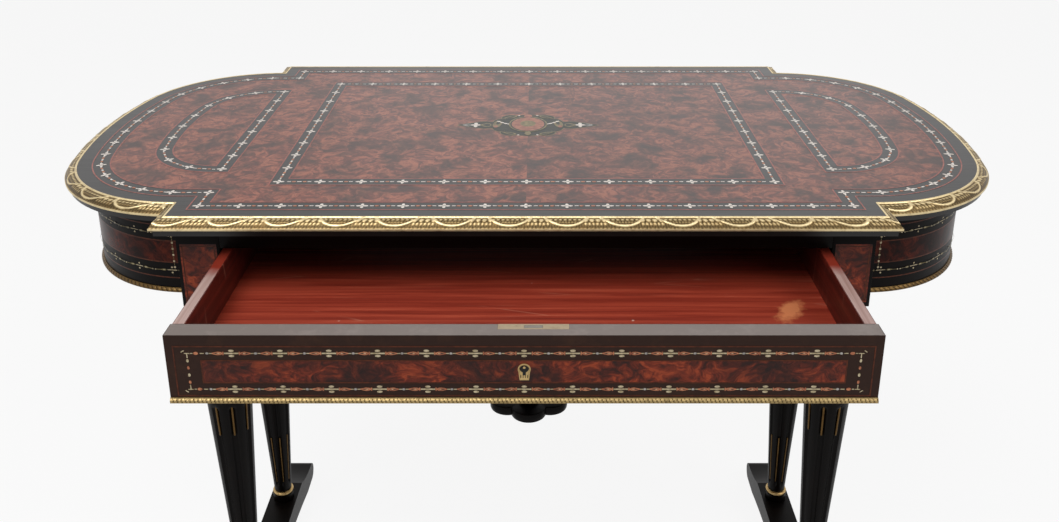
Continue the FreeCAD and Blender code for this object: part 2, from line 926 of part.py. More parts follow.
def foot_pieces():
    """Cross foot under each pair of columns, and the glides that touch the floor."""
    low = glide_height
    inner = foot_reach - foot_pad
    tip_top = low + foot_tip_height
    side = []
    start = vec(0, foot_flat, foot_centre_height)
    tip_high = vec(0, foot_reach - foot_tip_height / 2.0, tip_top)
    dip = vec(
        0,
        foot_flat + (foot_reach - foot_flat) * foot_dip_shares[0],
        tip_top + (foot_centre_height - tip_top) * foot_dip_shares[1],
    )
    side.append(Part.Arc(start, dip, tip_high).toShape())
    nose = vec(0, foot_reach, low + foot_tip_height / 2.0)
    tip_low = vec(0, foot_reach - foot_tip_height / 2.0, low)
    side.append(Part.Arc(tip_high, nose, tip_low).toShape())
    pad_end = vec(0, inner, low)
    side.append(Part.LineSegment(tip_low, pad_end).toShape())
    arch = Part.Arc(pad_end, vec(0, 0, low + foot_arch), vec(0, -inner, low)).toShape()
    back = [e.mirror(vec(0, 0, 0), vec(0, 1, 0)) for e in side]
    top = Part.LineSegment(start, vec(0, -foot_flat, foot_centre_height)).toShape()
    wire = Part.Wire(Part.__sortEdges__(side + [arch, top] + back))
    foot = Part.Face(wire).extrude(vec(foot_width, 0, 0))
    foot.translate(vec(column_x - foot_width / 2.0, 0, 0))
    sockets = [
        rod(column_x, y, foot_centre_height - toe_tenon_length, foot_centre_height, toe_tenon_r)
        for y in (-column_y, column_y)
    ]
    foot = cut(foot, sockets)
    save("right_cross_foot", foot)
    save("left_cross_foot", mirrored_x(foot))
    glide_y = foot_reach - foot_pad / 2.0 - foot_tip_height / 4.0
    glides = [
        rod(x * column_x, y * glide_y, floor_z, glide_height, glide_r)
        for x in (-1, 1)
        for y in (-1, 1)
    ]
    save("glides", Part.makeCompound(glides))


os.makedirs("parts", exist_ok=True)
drawer_supports(top_pieces())
edge_pieces()
case_pieces()
drawer_pieces()
lock_pieces()
columns_and_rails()
foot_pieces()
print(len(saved), "pieces", "shift along Y", table_y)
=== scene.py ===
"""Looks of an inlaid, ebonised and burr veneered writing table with gilt brass edges and an open drawer."""

import logging
import math
from dataclasses import dataclass, field
from enum import Enum
from functools import cache, cached_property, partial
from typing import Callable

import bmesh
import bpy
from bmesh.types import BMesh
from bpy.types import Material, Node, NodeSocket, NodeTree, Object
from mathutils import Matrix, Vector


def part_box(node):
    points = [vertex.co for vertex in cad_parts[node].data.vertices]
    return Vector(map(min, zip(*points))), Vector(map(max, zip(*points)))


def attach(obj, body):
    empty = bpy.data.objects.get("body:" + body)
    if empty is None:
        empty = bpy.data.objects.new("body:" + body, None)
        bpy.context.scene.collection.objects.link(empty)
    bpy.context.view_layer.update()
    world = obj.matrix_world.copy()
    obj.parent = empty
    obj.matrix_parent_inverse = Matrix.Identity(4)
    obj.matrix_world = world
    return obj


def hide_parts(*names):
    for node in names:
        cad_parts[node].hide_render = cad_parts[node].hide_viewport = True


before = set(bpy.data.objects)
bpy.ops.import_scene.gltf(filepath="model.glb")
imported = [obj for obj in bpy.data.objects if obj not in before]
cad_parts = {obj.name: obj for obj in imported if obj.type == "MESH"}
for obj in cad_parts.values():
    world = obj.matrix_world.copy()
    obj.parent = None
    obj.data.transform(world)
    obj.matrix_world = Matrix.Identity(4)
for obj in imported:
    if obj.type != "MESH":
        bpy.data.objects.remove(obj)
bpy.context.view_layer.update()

MM = 0.001
TABLE_Y = 79.25
TABLE = "table"
DRAWER = "drawer"
PHOTO_SIZE = (1059, 522)
QUARTER = math.pi / 2.0
ROOT_TWO = math.sqrt(2.0)
SQUARE = Matrix.Rotation(math.pi / 4.0, 4, "Z")
SIDES = (-1.0, 1.0)
MIX_A = 6
MIX_B = 7
MIX_RESULT = 2

Inputs = dict[str | int, object]
Stops = tuple[tuple[float, str], ...]
Pair = tuple[float, float]
Triple = tuple[float, float, float]
Quad = tuple[float, float, float, float]
Ring = tuple[float | Callable[[float], float], float]
Place = Callable[[float, float], Vector]
Height = Callable[[float, float], float]

log = logging.getLogger("writing_table")


# Colours and node trees


def linear(code: str) -> Quad:
    """Turn an sRGB hex colour into linear RGBA.

    Args:
        code: Six hex digits after a hash sign.

    Returns:
        Linear red, green and blue with an alpha of 1.
    """
    parts = [int(code[i : i + 2], 16) / 255.0 for i in (1, 3, 5)]
    red, green, blue = (p / 12.92 if p <= 0.04045 else ((p + 0.055) / 1.055) ** 2.4 for p in parts)
    return red, green, blue, 1.0


def per_metre(size_mm: float) -> float:
    """Texture scale that makes one feature of a pattern about size_mm across."""
    return 1000.0 / size_mm


@dataclass
class Graph:
    """Node tree that is being filled."""

    tree: NodeTree

    def feed(self, node: Node, inputs: Inputs) -> None:
        """Set or link a node's sockets.

        Args:
            node: Node to feed.
            inputs: Socket name or number to a value, a socket, or a node whose first output is meant.
        """
        for key, value in inputs.items():
            if isinstance(value, Node):
                value = value.outputs[0]
            if isinstance(value, NodeSocket):
                self.tree.links.new(value, node.inputs[key])
            else:
                node.inputs[key].default_value = value

    def add(self, kind: str, inputs: Inputs | None = None, **settings: object) -> Node:
        """Add a node with its settings, values and links.

        Args:
            kind: Node type without its first word, such as Mix.
            inputs: What feeds its sockets, as in feed.
            **settings: Properties of the node itself.

        Returns:
            The new node.
        """
        node = self.tree.nodes.new("ShaderNode" + kind)
        for key, value in settings.items():
            setattr(node, key, value)
        self.feed(node, inputs or {})
        return node


def with_stops(ramp: Node, stops: Stops) -> Node:
    """Give a colour ramp its stops.

    Args:
        ramp: The ramp node.
        stops: Position and sRGB hex colour of each stop, in rising order.

    Returns:
        The same node.
    """
    elements = ramp.color_ramp.elements
    while len(elements) < len(stops):
        elements.new(0.5)
    for element, (position, code) in zip(elements, stops):
        element.position = position
        element.color = linear(code)
    return ramp


def start_material(name: str) -> tuple[Material, Graph, Node]:
    """Make a material that holds one Principled shader.

    Args:
        name: Name of the material.

    Returns:
        The material, its node tree and the shader.
    """
    material = bpy.data.materials.new(name)
    material.use_nodes = True
    tree = material.node_tree
    return material, Graph(tree), next(n for n in tree.nodes if n.type == "BSDF_PRINCIPLED")


# Materials


@dataclass(frozen=True)
class Finish:
    """A finish, whose pattern lies on the piece's own object coordinates."""

    name: str

    def paint(self, graph: Graph, place: NodeSocket) -> Inputs:
        """Add the pattern's nodes.

        Args:
            graph: Node tree to add to.
            place: Object coordinates.

        Returns:
            What feeds the shader's sockets.
        """
        raise NotImplementedError

    def build(self) -> Material:
        """Build the node material.

        Returns:
            The material.
        """
        material, graph, shader = start_material(self.name)
        graph.feed(shader, self.paint(graph, graph.add("TexCoord").outputs["Object"]))
        return material


@dataclass(frozen=True)
class BurrVeneer(Finish):
    """Burr veneer, cut from a knotty root, glued down and polished under old varnish.

    The cut shows clouded, swirling figure with small dark eyes. The varnish gives a soft sheen and darkens
    unevenly.
    """

    stops: Stops
    swirl_mm: float
    figure_mm: float
    shadow: str
    shadow_share: float
    roughness: float
    ior: float
    shadow_from: float = 0.44
    shadow_to: float = 0.64
    eye_mm: float = 9.0
    pore_mm: float = 1.6
    joint_shift_mm: Triple | None = None
    joint_shade: float = 0.0
    stretch: Triple = (1.0, 1.0, 1.0)

    def paint(self, graph: Graph, place: NodeSocket) -> Inputs:
        """Bend noise by noise for the figure, and lay clouds and eyes over it.

        Args:
            graph: Node tree to add to.
            place: Object coordinates.

        Returns:
            What feeds the shader's sockets.
        """
        add = graph.add
        beyond = None
        if self.joint_shift_mm is not None:
            # Two leaves of veneer meet at the middle of the top, and each shows its own figure.
            side = add("SeparateXYZ", {0: place}).outputs["X"]
            beyond = add("Math", {0: side, 1: 0.0}, operation="GREATER_THAN").outputs[0]
            leaf = tuple(v * MM for v in self.joint_shift_mm)
            shift = add("VectorMath", {0: leaf, "Scale": beyond}, operation="SCALE")
            place = add("VectorMath", {0: place, 1: shift}, operation="ADD").outputs[0]
        place = add("Mapping", {"Vector": place, "Scale": self.stretch}).outputs[0]
        wide, fine = per_metre(self.swirl_mm), per_metre(self.figure_mm)
        swirl = add("TexNoise", {"Vector": place, "Scale": wide, "Detail": 3.0}).outputs["Color"]
        reach = self.swirl_mm * MM * 0.9
        push = add("VectorMath", {0: swirl, "Scale": reach}, operation="SCALE")
        bent = add("VectorMath", {0: place, 1: push}, operation="ADD")
        drawn = {"Vector": bent, "Scale": fine, "Detail": 9.0, "Roughness": 0.66, "Distortion": 1.1}
        colour = with_stops(add("ValToRGB", {0: add("TexNoise", drawn)}), self.stops)
        cloud = add("TexNoise", {"Vector": bent, "Scale": wide, "Detail": 5.0, "Roughness": 0.6})
        limits = {"From Min": self.shadow_from, "From Max": self.shadow_to, "To Max": self.shadow_share}
        clouds = add("MapRange", {"Value": cloud} | limits)
        eyes = add("TexVoronoi", {"Vector": bent, "Scale": per_metre(self.eye_mm)}).outputs["Distance"]
        spots = add("MapRange", {"Value": eyes, "From Min": 0.3, "From Max": 0.1, "To Max": 0.5})
        dark = add("Math", {0: clouds, 1: spots}, operation="MAXIMUM")
        if beyond is not None:
            deeper = add("Math", {0: beyond, 1: self.joint_shade}, operation="MULTIPLY")
            dark = add("Math", {0: dark, 1: deeper}, operation="ADD", use_clamp=True)
        shaded = {0: dark, MIX_A: colour, MIX_B: linear(self.shadow)}
        pores = add("TexNoise", {"Vector": place, "Scale": per_metre(self.pore_mm), "Detail": 2.0})
        sheen = {"Value": cloud, "To Min": self.roughness - 0.06, "To Max": self.roughness + 0.08}
        return {
            "Base Color": add("Mix", shaded, data_type="RGBA").outputs[MIX_RESULT],
            "Roughness": add("MapRange", sheen),
            "Normal": add("Bump", {"Strength": 0.12, "Distance": 0.2 * MM, "Height": pores}),
            "IOR": self.ior,
        }


@dataclass(frozen=True)
class EbonisedWood(Finish):
    """Close-grained wood, stained black and polished: black with a grey sheen and hairline wear."""

    colour: str
    worn: str
    roughness: float
    ior: float = 1.5
    wear_share: float = 0.35
    wear_mm: float = 35.0
    grain_mm: float = 2.2
    grain_length_mm: float = 60.0

    def paint(self, graph: Graph, place: NodeSocket) -> Inputs:
        """Draw fine grain along X and rub the black brown in patches.

        Args:
            graph: Node tree to add to.
            place: Object coordinates.

        Returns:
            What feeds the shader's sockets.
        """
        add = graph.add
        fine = per_metre(self.grain_mm)
        along = add("Mapping", {"Vector": place, "Scale": (per_metre(self.grain_length_mm), fine, fine)})
        grain = add("TexNoise", {"Vector": along, "Scale": 1.0, "Detail": 4.0})
        patch = {"Vector": place, "Scale": per_metre(self.wear_mm), "Detail": 6.0, "Roughness": 0.7}
        wear = {"Value": add("TexNoise", patch), "From Min": 0.5, "From Max": 0.8, "To Max": self.wear_share}
        rubbed = {0: add("MapRange", wear), MIX_A: linear(self.colour), MIX_B: linear(self.worn)}
        sheen = {"Value": grain, "To Min": self.roughness - 0.08, "To Max": self.roughness + 0.12}
        return {
            "Base Color": add("Mix", rubbed, data_type="RGBA").outputs[MIX_RESULT],
            "Roughness": add("MapRange", sheen),
            "Normal": add("Bump", {"Strength": 0.1, "Distance": 0.15 * MM, "Height": grain}),
            "IOR": self.ior,
        }


@dataclass(frozen=True)
class Mahogany(Finish):
    """Planed and oiled red mahogany: straight streaky grain, fine scratches and rubbed pale spots."""

    stops: Stops
    along_x: bool = True
    grain_mm: float = 7.0
    grain_length_mm: float = 260.0
    worn_at: Triple | None = None
    worn_reach_mm: float = 34.0
    worn_turn: float = 0.98
    worn_stretch: Triple = (1.4, 0.65, 1.0)
    worn: str = "#d98758"
    speck_mm: float = 0.0
    speck: str = "#d8b9aa"
    fades_at_y: tuple[float, float, str] | None = None
    scratch: str = "#c98a72"
    roughness: float = 0.42
    ior: float = 1.48

    def paint(self, graph: Graph, place: NodeSocket) -> Inputs:
        """Draw the grain and the scratches, and lay wear, specks and a painted shade behind a given depth
        over them.

        Args:
            graph: Node tree to add to.
            place: Object coordinates.

        Returns:
            What feeds the shader's sockets.
        """
        add = graph.add
        fine, long = per_metre(self.grain_mm), per_metre(self.grain_length_mm)
        scale = (long, fine, fine) if self.along_x else (fine, long, fine)
        along = add("Mapping", {"Vector": place, "Scale": scale})
        streaks = {"Vector": along, "Scale": 1.0, "Detail": 7.0, "Roughness": 0.62, "Distortion": 0.5}
        grain = add("TexNoise", streaks)
        colour = with_stops(add("ValToRGB", {0: grain}), self.stops).outputs[0]
        patchy = add("TexNoise", {"Vector": place, "Scale": per_metre(60.0), "Detail": 3.0})
        colour = self.over(graph, self.scratches(graph, place, patchy), colour, self.scratch)
        if self.worn_at is not None:
            colour = self.over(graph, self.worn_patch(graph, place), colour, self.worn)
        if self.speck_mm:
            cells = add("TexVoronoi", {"Vector": place, "Scale": per_metre(self.speck_mm), "Randomness": 1.0})
            near = {"Value": cells.outputs["Distance"], "From Min": 0.045, "From Max": 0.02, "To Max": 0.75}
            colour = self.over(graph, add("MapRange", near), colour, self.speck)
        # Painted shade: behind a given depth, where the top's edge shades the drawer, the colour turns to
        # another.
        if self.fades_at_y is not None:
            start, end, other = self.fades_at_y
            depth = add("SeparateXYZ", {0: place}).outputs["Y"]
            wavering = add("Math", {0: patchy, 1: 0.06, 2: depth}, operation="MULTIPLY_ADD")
            back = add("MapRange", {"Value": wavering, "From Min": start, "From Max": end})
            colour = self.over(graph, back, colour, other)
        return {
            "Base Color": colour,
            "Normal": add("Bump", {"Strength": 0.15, "Distance": 0.2 * MM, "Height": grain}),
            "Roughness": self.roughness,
            "IOR": self.ior,
        }

    def over(self, graph: Graph, mask: Node, below: NodeSocket, code: str) -> NodeSocket:
        """Lay one colour over what is there, by a mask.

        Args:
            graph: Node tree to add to.
            mask: Where the colour shows.
            below: Colour that is there.
            code: Colour to lay over it.

        Returns:
            The mixed colour.
        """
        mixed = graph.add("Mix", {0: mask, MIX_A: below, MIX_B: linear(code)}, data_type="RGBA")
        return mixed.outputs[MIX_RESULT]

    def scratches(self, graph: Graph, place: NodeSocket, patchy: Node) -> Node:
        """Mask of fine slanting scratches that come and go.

        Args:
            graph: Node tree to add to.
            place: Object coordinates.
            patchy: Noise that says where they are.

        Returns:
            The mask.
        """
        add = graph.add
        slant = {"Rotation": (0.0, 0.0, 0.5), "Scale": (per_metre(300.0), per_metre(26.0), 1.0)}
        tilt = add("Mapping", {"Vector": place} | slant)
        edges = add("TexVoronoi", {"Vector": tilt, "Scale": 1.0}, feature="DISTANCE_TO_EDGE")
        thin = {"Value": edges.outputs["Distance"], "From Min": 0.012, "From Max": 0.0, "To Max": 0.35}
        some = add("MapRange", {"Value": patchy, "From Min": 0.5, "From Max": 0.62})
        return add("Math", {0: add("MapRange", thin), 1: some}, operation="MULTIPLY")

    def worn_patch(self, graph: Graph, place: NodeSocket) -> Node:
        """Mask of the long patch that is rubbed through to pale wood, with a crumbled edge.

        Args:
            graph: Node tree to add to.
            place: Object coordinates.

        Returns:
            The mask.
        """
        add = graph.add
        patch = {"Location": self.worn_at, "Rotation": (0.0, 0.0, self.worn_turn), "Scale": self.worn_stretch}
        turned = add("Mapping", {"Vector": place} | patch, vector_type="TEXTURE")
        away = add("VectorMath", {0: turned}, operation="LENGTH").outputs["Value"]
        reach = {"Value": away, "From Min": self.worn_reach_mm * MM, "From Max": 0.0, "To Max": 0.9}
        rough = {"Vector": place, "Scale": per_metre(14.0), "Detail": 5.0, "Roughness": 0.7}
        summed = add("Math", {0: add("MapRange", reach), 1: add("TexNoise", rough)}, operation="ADD")
        return add("MapRange", {"Value": summed, "From Min": 0.8, "From Max": 1.12, "To Max": 0.85})


@dataclass(frozen=True)
class GiltBrass(Finish):
    """Stamped or drawn brass under old gilding: bright on raised work, brown in the hollows."""

    bright: str
    middle: str
    tarnish: str
    hollow: str | None = None
    spot_mm: float = 11.0
    grit_mm: float = 1.4
    roughness: float = 0.36

    def paint(self, graph: Graph, place: NodeSocket) -> Inputs:
        """Colour by relief where there is some, else by spots, with tarnish over it.

        Args:
            graph: Node tree to add to.
            place: Object coordinates.

        Returns:
            What feeds the shader's sockets.
        """
        add = graph.add
        mottle = {"Vector": place, "Scale": per_metre(self.spot_mm), "Detail": 6.0, "Roughness": 0.7}
        spots = add("TexNoise", mottle)
        if self.hollow is None:
            stops, level = ((0.25, self.middle), (0.75, self.bright)), spots.outputs[0]
        else:
            stops = ((0.0, self.hollow), (0.42, self.middle), (0.85, self.bright))
            level = add("Attribute", attribute_name="relief").outputs["Fac"]
        colour = with_stops(add("ValToRGB", {0: level}), stops)
        dull = add("MapRange", {"Value": spots, "From Min": 0.5, "From Max": 0.75, "To Max": 0.6})
        mixed = add("Mix", {0: dull, MIX_A: colour, MIX_B: linear(self.tarnish)}, data_type="RGBA")
        grit = add("TexNoise", {"Vector": place, "Scale": per_metre(self.grit_mm), "Detail": 3.0})
        sheen = {"Value": grit, "To Min": self.roughness - 0.1, "To Max": self.roughness + 0.2}
        return {
            "Base Color": mixed.outputs[MIX_RESULT],
            "Roughness": add("MapRange", sheen),
            "Normal": add("Bump", {"Strength": 0.25, "Distance": 0.25 * MM, "Height": grit}),
            "Metallic": 1.0,
        }


@dataclass(frozen=True)
class InlayBit(Finish):
    """Thin bit of bone, shell, metal or stained wood, sawn out, let in and rubbed level, with faint veins."""

    pale: str
    deep: str
    roughness: float
    vein_mm: float = 3.0
    ior: float = 1.42

    def paint(self, graph: Graph, place: NodeSocket) -> Inputs:
        """Vary the colour along faint veins.

        Args:
            graph: Node tree to add to.
            place: Object coordinates.

        Returns:
            What feeds the shader's sockets.
        """
        veins = graph.add("TexNoise", {"Vector": place, "Scale": per_metre(self.vein_mm), "Detail": 3.0})
        colour = with_stops(graph.add("ValToRGB", {0: veins}), ((0.3, self.deep), (0.65, self.pale)))
        return {"Base Color": colour, "Roughness": self.roughness, "IOR": self.ior, "Metallic": 0.0}


# The table's finishes. The upright blacks and burrs have a low IOR, because at the usual one they mirror so
# much of the pale surroundings that they turn grey.

FINISHES: tuple[Finish, ...] = (
    # Burr on the top, bleached by light and dulled by use, in two leaves.
    BurrVeneer(
        "top_burr",
        ((0.3, "#2c140e"), (0.42, "#562419"), (0.51, "#7b3f2d"), (0.6, "#a05d45"), (0.74, "#6b3425")),
        swirl_mm=46.0,
        figure_mm=15.0,
        shadow="#231714",
        shadow_share=0.8,
        shadow_from=0.45,
        shadow_to=0.62,
        joint_shift_mm=(137.0, 61.0, 0.0),
        joint_shade=0.1,
        roughness=0.33,
        ior=1.41,
    ),
    # Burr on the drawer's front and the blocks, which kept its red.
    BurrVeneer(
        "side_burr",
        ((0.3, "#1e0b06"), (0.42, "#4b180a"), (0.52, "#752a15"), (0.62, "#a04322"), (0.78, "#551d0f")),
        swirl_mm=40.0,
        figure_mm=14.0,
        eye_mm=7.0,
        shadow="#140806",
        shadow_share=0.85,
        stretch=(0.8, 0.8, 1.0),
        roughness=0.32,
        ior=1.3,
    ),
    # Burr of the friezes, darkened with painted shade for the top's overhang.
    BurrVeneer(
        "frieze_burr_painted_shade",
        ((0.3, "#120705"), (0.42, "#2c0e08"), (0.52, "#45170d"), (0.62, "#5f2413"), (0.78, "#31100a")),
        swirl_mm=50.0,
        figure_mm=17.0,
        shadow="#0c0504",
        shadow_share=0.8,
        roughness=0.28,
        ior=1.18,
    ),
    # Black polish: on the top, on case and stand, on the drawer's front where the brown shows through, and on
    # its upper edge, grey with a painted sheen and rubbed patches.
    EbonisedWood("ebonised", "#100c0a", "#2b1e18", roughness=0.3, ior=1.43),
    EbonisedWood("case_ebonised", "#090605", "#1d110d", wear_share=0.3, roughness=0.36, ior=1.16),
    EbonisedWood("front_ebonised", "#2b170e", "#4a2e1c", wear_share=0.5, roughness=0.34, ior=1.25),
    EbonisedWood("worn_black_painted_sheen", "#71655f", "#968a83", wear_share=0.55, roughness=0.32),
    # Mahogany: upper edges of the drawer's sides, pale with a painted sheen that fades into painted shade
    # under the top; its back; its sides, darkened with painted shade; its floor; and plain hidden wood.
    Mahogany(
        "painted_sheen_edge",
        ((0.25, "#8e6a62"), (0.45, "#a98880"), (0.6, "#bb9f97"), (0.8, "#c9b3ab")),
        along_x=False,
        fades_at_y=(-0.245, -0.215, "#8a3122"),
        roughness=0.36,
    ),
    Mahogany("mahogany_along", ((0.25, "#4c130c"), (0.45, "#752417"), (0.58, "#923322"), (0.75, "#ad4a34"))),
    # Mahogany darkened with painted shade: the drawer's sides and the hidden rails and runners.
    Mahogany(
        "mahogany_painted_shade",
        ((0.25, "#250805"), (0.45, "#3f110a"), (0.58, "#561a11"), (0.75, "#6c271a")),
        along_x=False,
    ),
    Mahogany(
        "mahogany_floor",
        ((0.25, "#6a1f14"), (0.42, "#852d1e"), (0.58, "#9e3d2a"), (0.78, "#bd5940")),
        worn_at=(0.291, -0.268, 0.664),
        speck_mm=46.0,
    ),
    Mahogany(
        "stained_softwood",
        ((0.25, "#1c0f0a"), (0.45, "#2e1911"), (0.6, "#3d2418"), (0.8, "#4c3022")),
        scratch="#5a4234",
        roughness=0.6,
    ),
    # Stamped brass with its gilding: the edge, the tarnished foot of the case, the rubbed foot of the drawer.
    GiltBrass("gilt_relief", "#d5c298", "#927d57", tarnish="#6b5230", hollow="#2a1f13"),
    GiltBrass("gilt_relief_tarnished", "#665030", "#37291a", tarnish="#1f170e", hollow="#140e08"),
    GiltBrass("gilt_relief_worn", "#a08a5f", "#40301b", tarnish="#2c2014", hollow="#140d07"),
    # Plain metals: rods in the flutes, darkened with painted shade for the flutes, rings and keyhole plate,
    # the lock, its bolt and the screws.
    GiltBrass("rod_brass_painted_shade", "#735833", "#3d2d1a", tarnish="#150f0a"),
    GiltBrass("gilt_brass", "#d0b682", "#94764a", tarnish="#4c3a22"),
    GiltBrass("lock_brass", "#b3a389", "#8b7a62", tarnish="#5c4c3c", roughness=0.3),
    GiltBrass("dull_steel", "#9a958c", "#6f6a62", tarnish="#4c4038", roughness=0.4),
    # Inlay: stained strings, bone fresh and yellowed, copper, shell, brass, stained woods, and the keyhole's
    # painted shade.
    InlayBit("red_string", "#a0574a", "#73372d", vein_mm=5.0, roughness=0.35),
    InlayBit("dark_red_string", "#5c2c18", "#3c1b0e", vein_mm=5.0, roughness=0.35, ior=1.25),
    InlayBit("bone", "#f0e9e2", "#cdbfb2", roughness=0.4),
    InlayBit("old_ivory", "#d2c3a2", "#a08f6c", roughness=0.4, ior=1.3),
    InlayBit("copper_inlay", "#cc8660", "#91513a", vein_mm=4.0, roughness=0.3, ior=1.3),
    InlayBit("grey_shell", "#b9b3ad", "#85807c", roughness=0.3),
    InlayBit("brass_inlay", "#83744a", "#54492c", vein_mm=5.0, roughness=0.35, ior=1.38),
    InlayBit("green_stained", "#23261c", "#11130e", vein_mm=6.0, roughness=0.4, ior=1.38),
    InlayBit("pink_stained", "#a86c54", "#7c4638", vein_mm=6.0, roughness=0.35, ior=1.38),
    InlayBit("keyhole_painted_shade", "#0c0907", "#050403", roughness=0.8),
)


@cache
def look(name: str) -> Material:
    """Material of the finish with a name, built when it is first asked for."""
    return next(finish for finish in FINISHES if finish.name == name).build()


class Tone(Enum):
    """Finish of one inlaid bit."""

    BONE = "bone"
    IVORY = "old_ivory"
    COPPER = "copper_inlay"
    SHELL = "grey_shell"
    BRASS = "brass_inlay"
    GREEN = "green_stained"
    PINK = "pink_stained"
    GILT = "gilt_brass"
    HOLE = "keyhole_painted_shade"


# Pieces


def shade(bm: BMesh, sharp_degrees: float = 32.0) -> None:
    """Smooth every face and keep the edges that turn by more than an angle.

    Args:
        bm: Mesh to shade.
        sharp_degrees: Smallest turn that stays a hard edge.
    """
    for face in bm.faces:
        face.smooth = True
    for edge in bm.edges:
        edge.smooth = edge.calc_face_angle(0.0) < math.radians(sharp_degrees)


def finish_piece(
    name: str, bm: BMesh, finishes: list[str], body: str, slot: str, stands_for: tuple[str, ...]
) -> None:
    """Turn a mesh into a piece that rides on its body.

    Args:
        name: Name of the piece.
        bm: Its mesh, in metres in the shared frame; it is freed.
        finishes: Names of its finishes by slot number.
        body: Body that carries the piece.
        slot: Not used.
        stands_for: CAD nodes that the piece replaces.
    """
    mesh = bpy.data.meshes.new(name)
    bm.to_mesh(mesh)
    bm.free()
    for finish in finishes:
        mesh.materials.append(look(finish))
    piece = bpy.data.objects.new(name, mesh)
    bpy.context.scene.collection.objects.link(piece)
    if stands_for:
        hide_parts(*stands_for)
    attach(piece, body)
    log.info("%s: %d faces on %s", name, len(mesh.polygons), body)


def dress(finish: str, *nodes: str, ease_mm: float = 0.0) -> None:
    """Give CAD nodes their finish and, where an ease is given, rounded arrises.

    Args:
        finish: Name of the finish for every slot of theirs.
        *nodes: Names of the nodes.
        ease_mm: Width of the rounding.
    """
    for name in nodes:
        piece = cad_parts[name]
        for place in piece.material_slots:
            place.material = look(finish)
        if ease_mm:
            weld = piece.modifiers.new("join", "WELD")
            weld.merge_threshold = 0.01 * MM
            bevel = piece.modifiers.new("ease", "BEVEL")
            bevel.width = ease_mm * MM
            bevel.segments = 2
            bevel.limit_method = "ANGLE"
            bevel.angle_limit = math.radians(40.0)
        log.info("%s: dressed in %s", name, finish)


def eased_box(bm: BMesh, low: Vector, high: Vector, ease: float) -> None:
    """Add a block with rounded arrises between two corners.

    Args:
        bm: Mesh to add to.
        low: Lowest corner.
        high: Highest corner.
        ease: Width of the rounding, in the mesh's unit.
    """
    matrix = Matrix.Translation((low + high) / 2.0) @ Matrix.Diagonal((*(high - low), 1.0))
    made = bmesh.ops.create_cube(bm, size=1.0, matrix=matrix)
    edges = list({e for v in made["verts"] for e in v.link_edges})
    how = {"offset_type": "OFFSET", "segments": 2, "profile": 0.5, "affect": "EDGES", "material": -1}
    bmesh.ops.bevel(bm, geom=edges, offset=ease, **how)


def eased_node(node: str, finish: str, body: str, slot: str, ease_mm: float) -> None:
    """Replace a plain box-shaped node by one with rounded arrises.

    Args:
        node: Name of the node.
        finish: Name of its finish.
        body: Body that carries it.
        slot: The record's material slot.
        ease_mm: Width of the rounding.
    """
    low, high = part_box(node)
    bm = bmesh.new()
    eased_box(bm, low, high, ease_mm * MM)
    shade(bm)
    finish_piece(node + "_eased", bm, [finish], body, slot, (node,))


def to_shared(bm: BMesh) -> None:
    """Move a mesh drawn in millimetres about the table's middle into the shared frame, in metres."""
    bmesh.ops.translate(bm, vec=(0.0, TABLE_Y, 0.0), verts=bm.verts)
    bmesh.ops.scale(bm, vec=(MM, MM, MM), verts=bm.verts)


# Lines in plan, in millimetres about the table's middle


@dataclass(frozen=True)
class Straight:
    """Straight stretch of a line in plan."""

    start: Pair
    end: Pair

    @property
    def length(self) -> float:
        """Length of the stretch."""
        return math.dist(self.start, self.end)

    def at(self, s: float) -> Quad:
        """x, y and direction at a distance from the start, which may run past either end."""
        dx, dy = ((b - a) / self.length for a, b in zip(self.start, self.end))
        return self.start[0] + dx * s, self.start[1] + dy * s, dx, dy

    def turned(self) -> "Straight":
        """The same stretch turned half a circle about the table's middle."""
        return Straight((-self.start[0], -self.start[1]), (-self.end[0], -self.end[1]))


@dataclass(frozen=True)
class Turn:
    """Round stretch of a line in plan, turning anticlockwise seen from above."""

    centre: Pair
    radius: float
    start_angle: float
    sweep: float

    @property
    def length(self) -> float:
        """Length of the stretch."""
        return self.radius * self.sweep

    def at(self, s: float) -> Quad:
        """Point and direction at a distance along.

        Args:
            s: Distance from the start.

        Returns:
            x, y and the direction's x and y.
        """
        angle = self.start_angle + s / self.radius
        x = self.centre[0] + self.radius * math.cos(angle)
        y = self.centre[1] + self.radius * math.sin(angle)
        return x, y, -math.sin(angle), math.cos(angle)

    def turned(self) -> "Turn":
        """The same stretch turned half a circle about the table's middle."""
        centre = (-self.centre[0], -self.centre[1])
        return Turn(centre, self.radius, self.start_angle + math.pi, self.sweep)


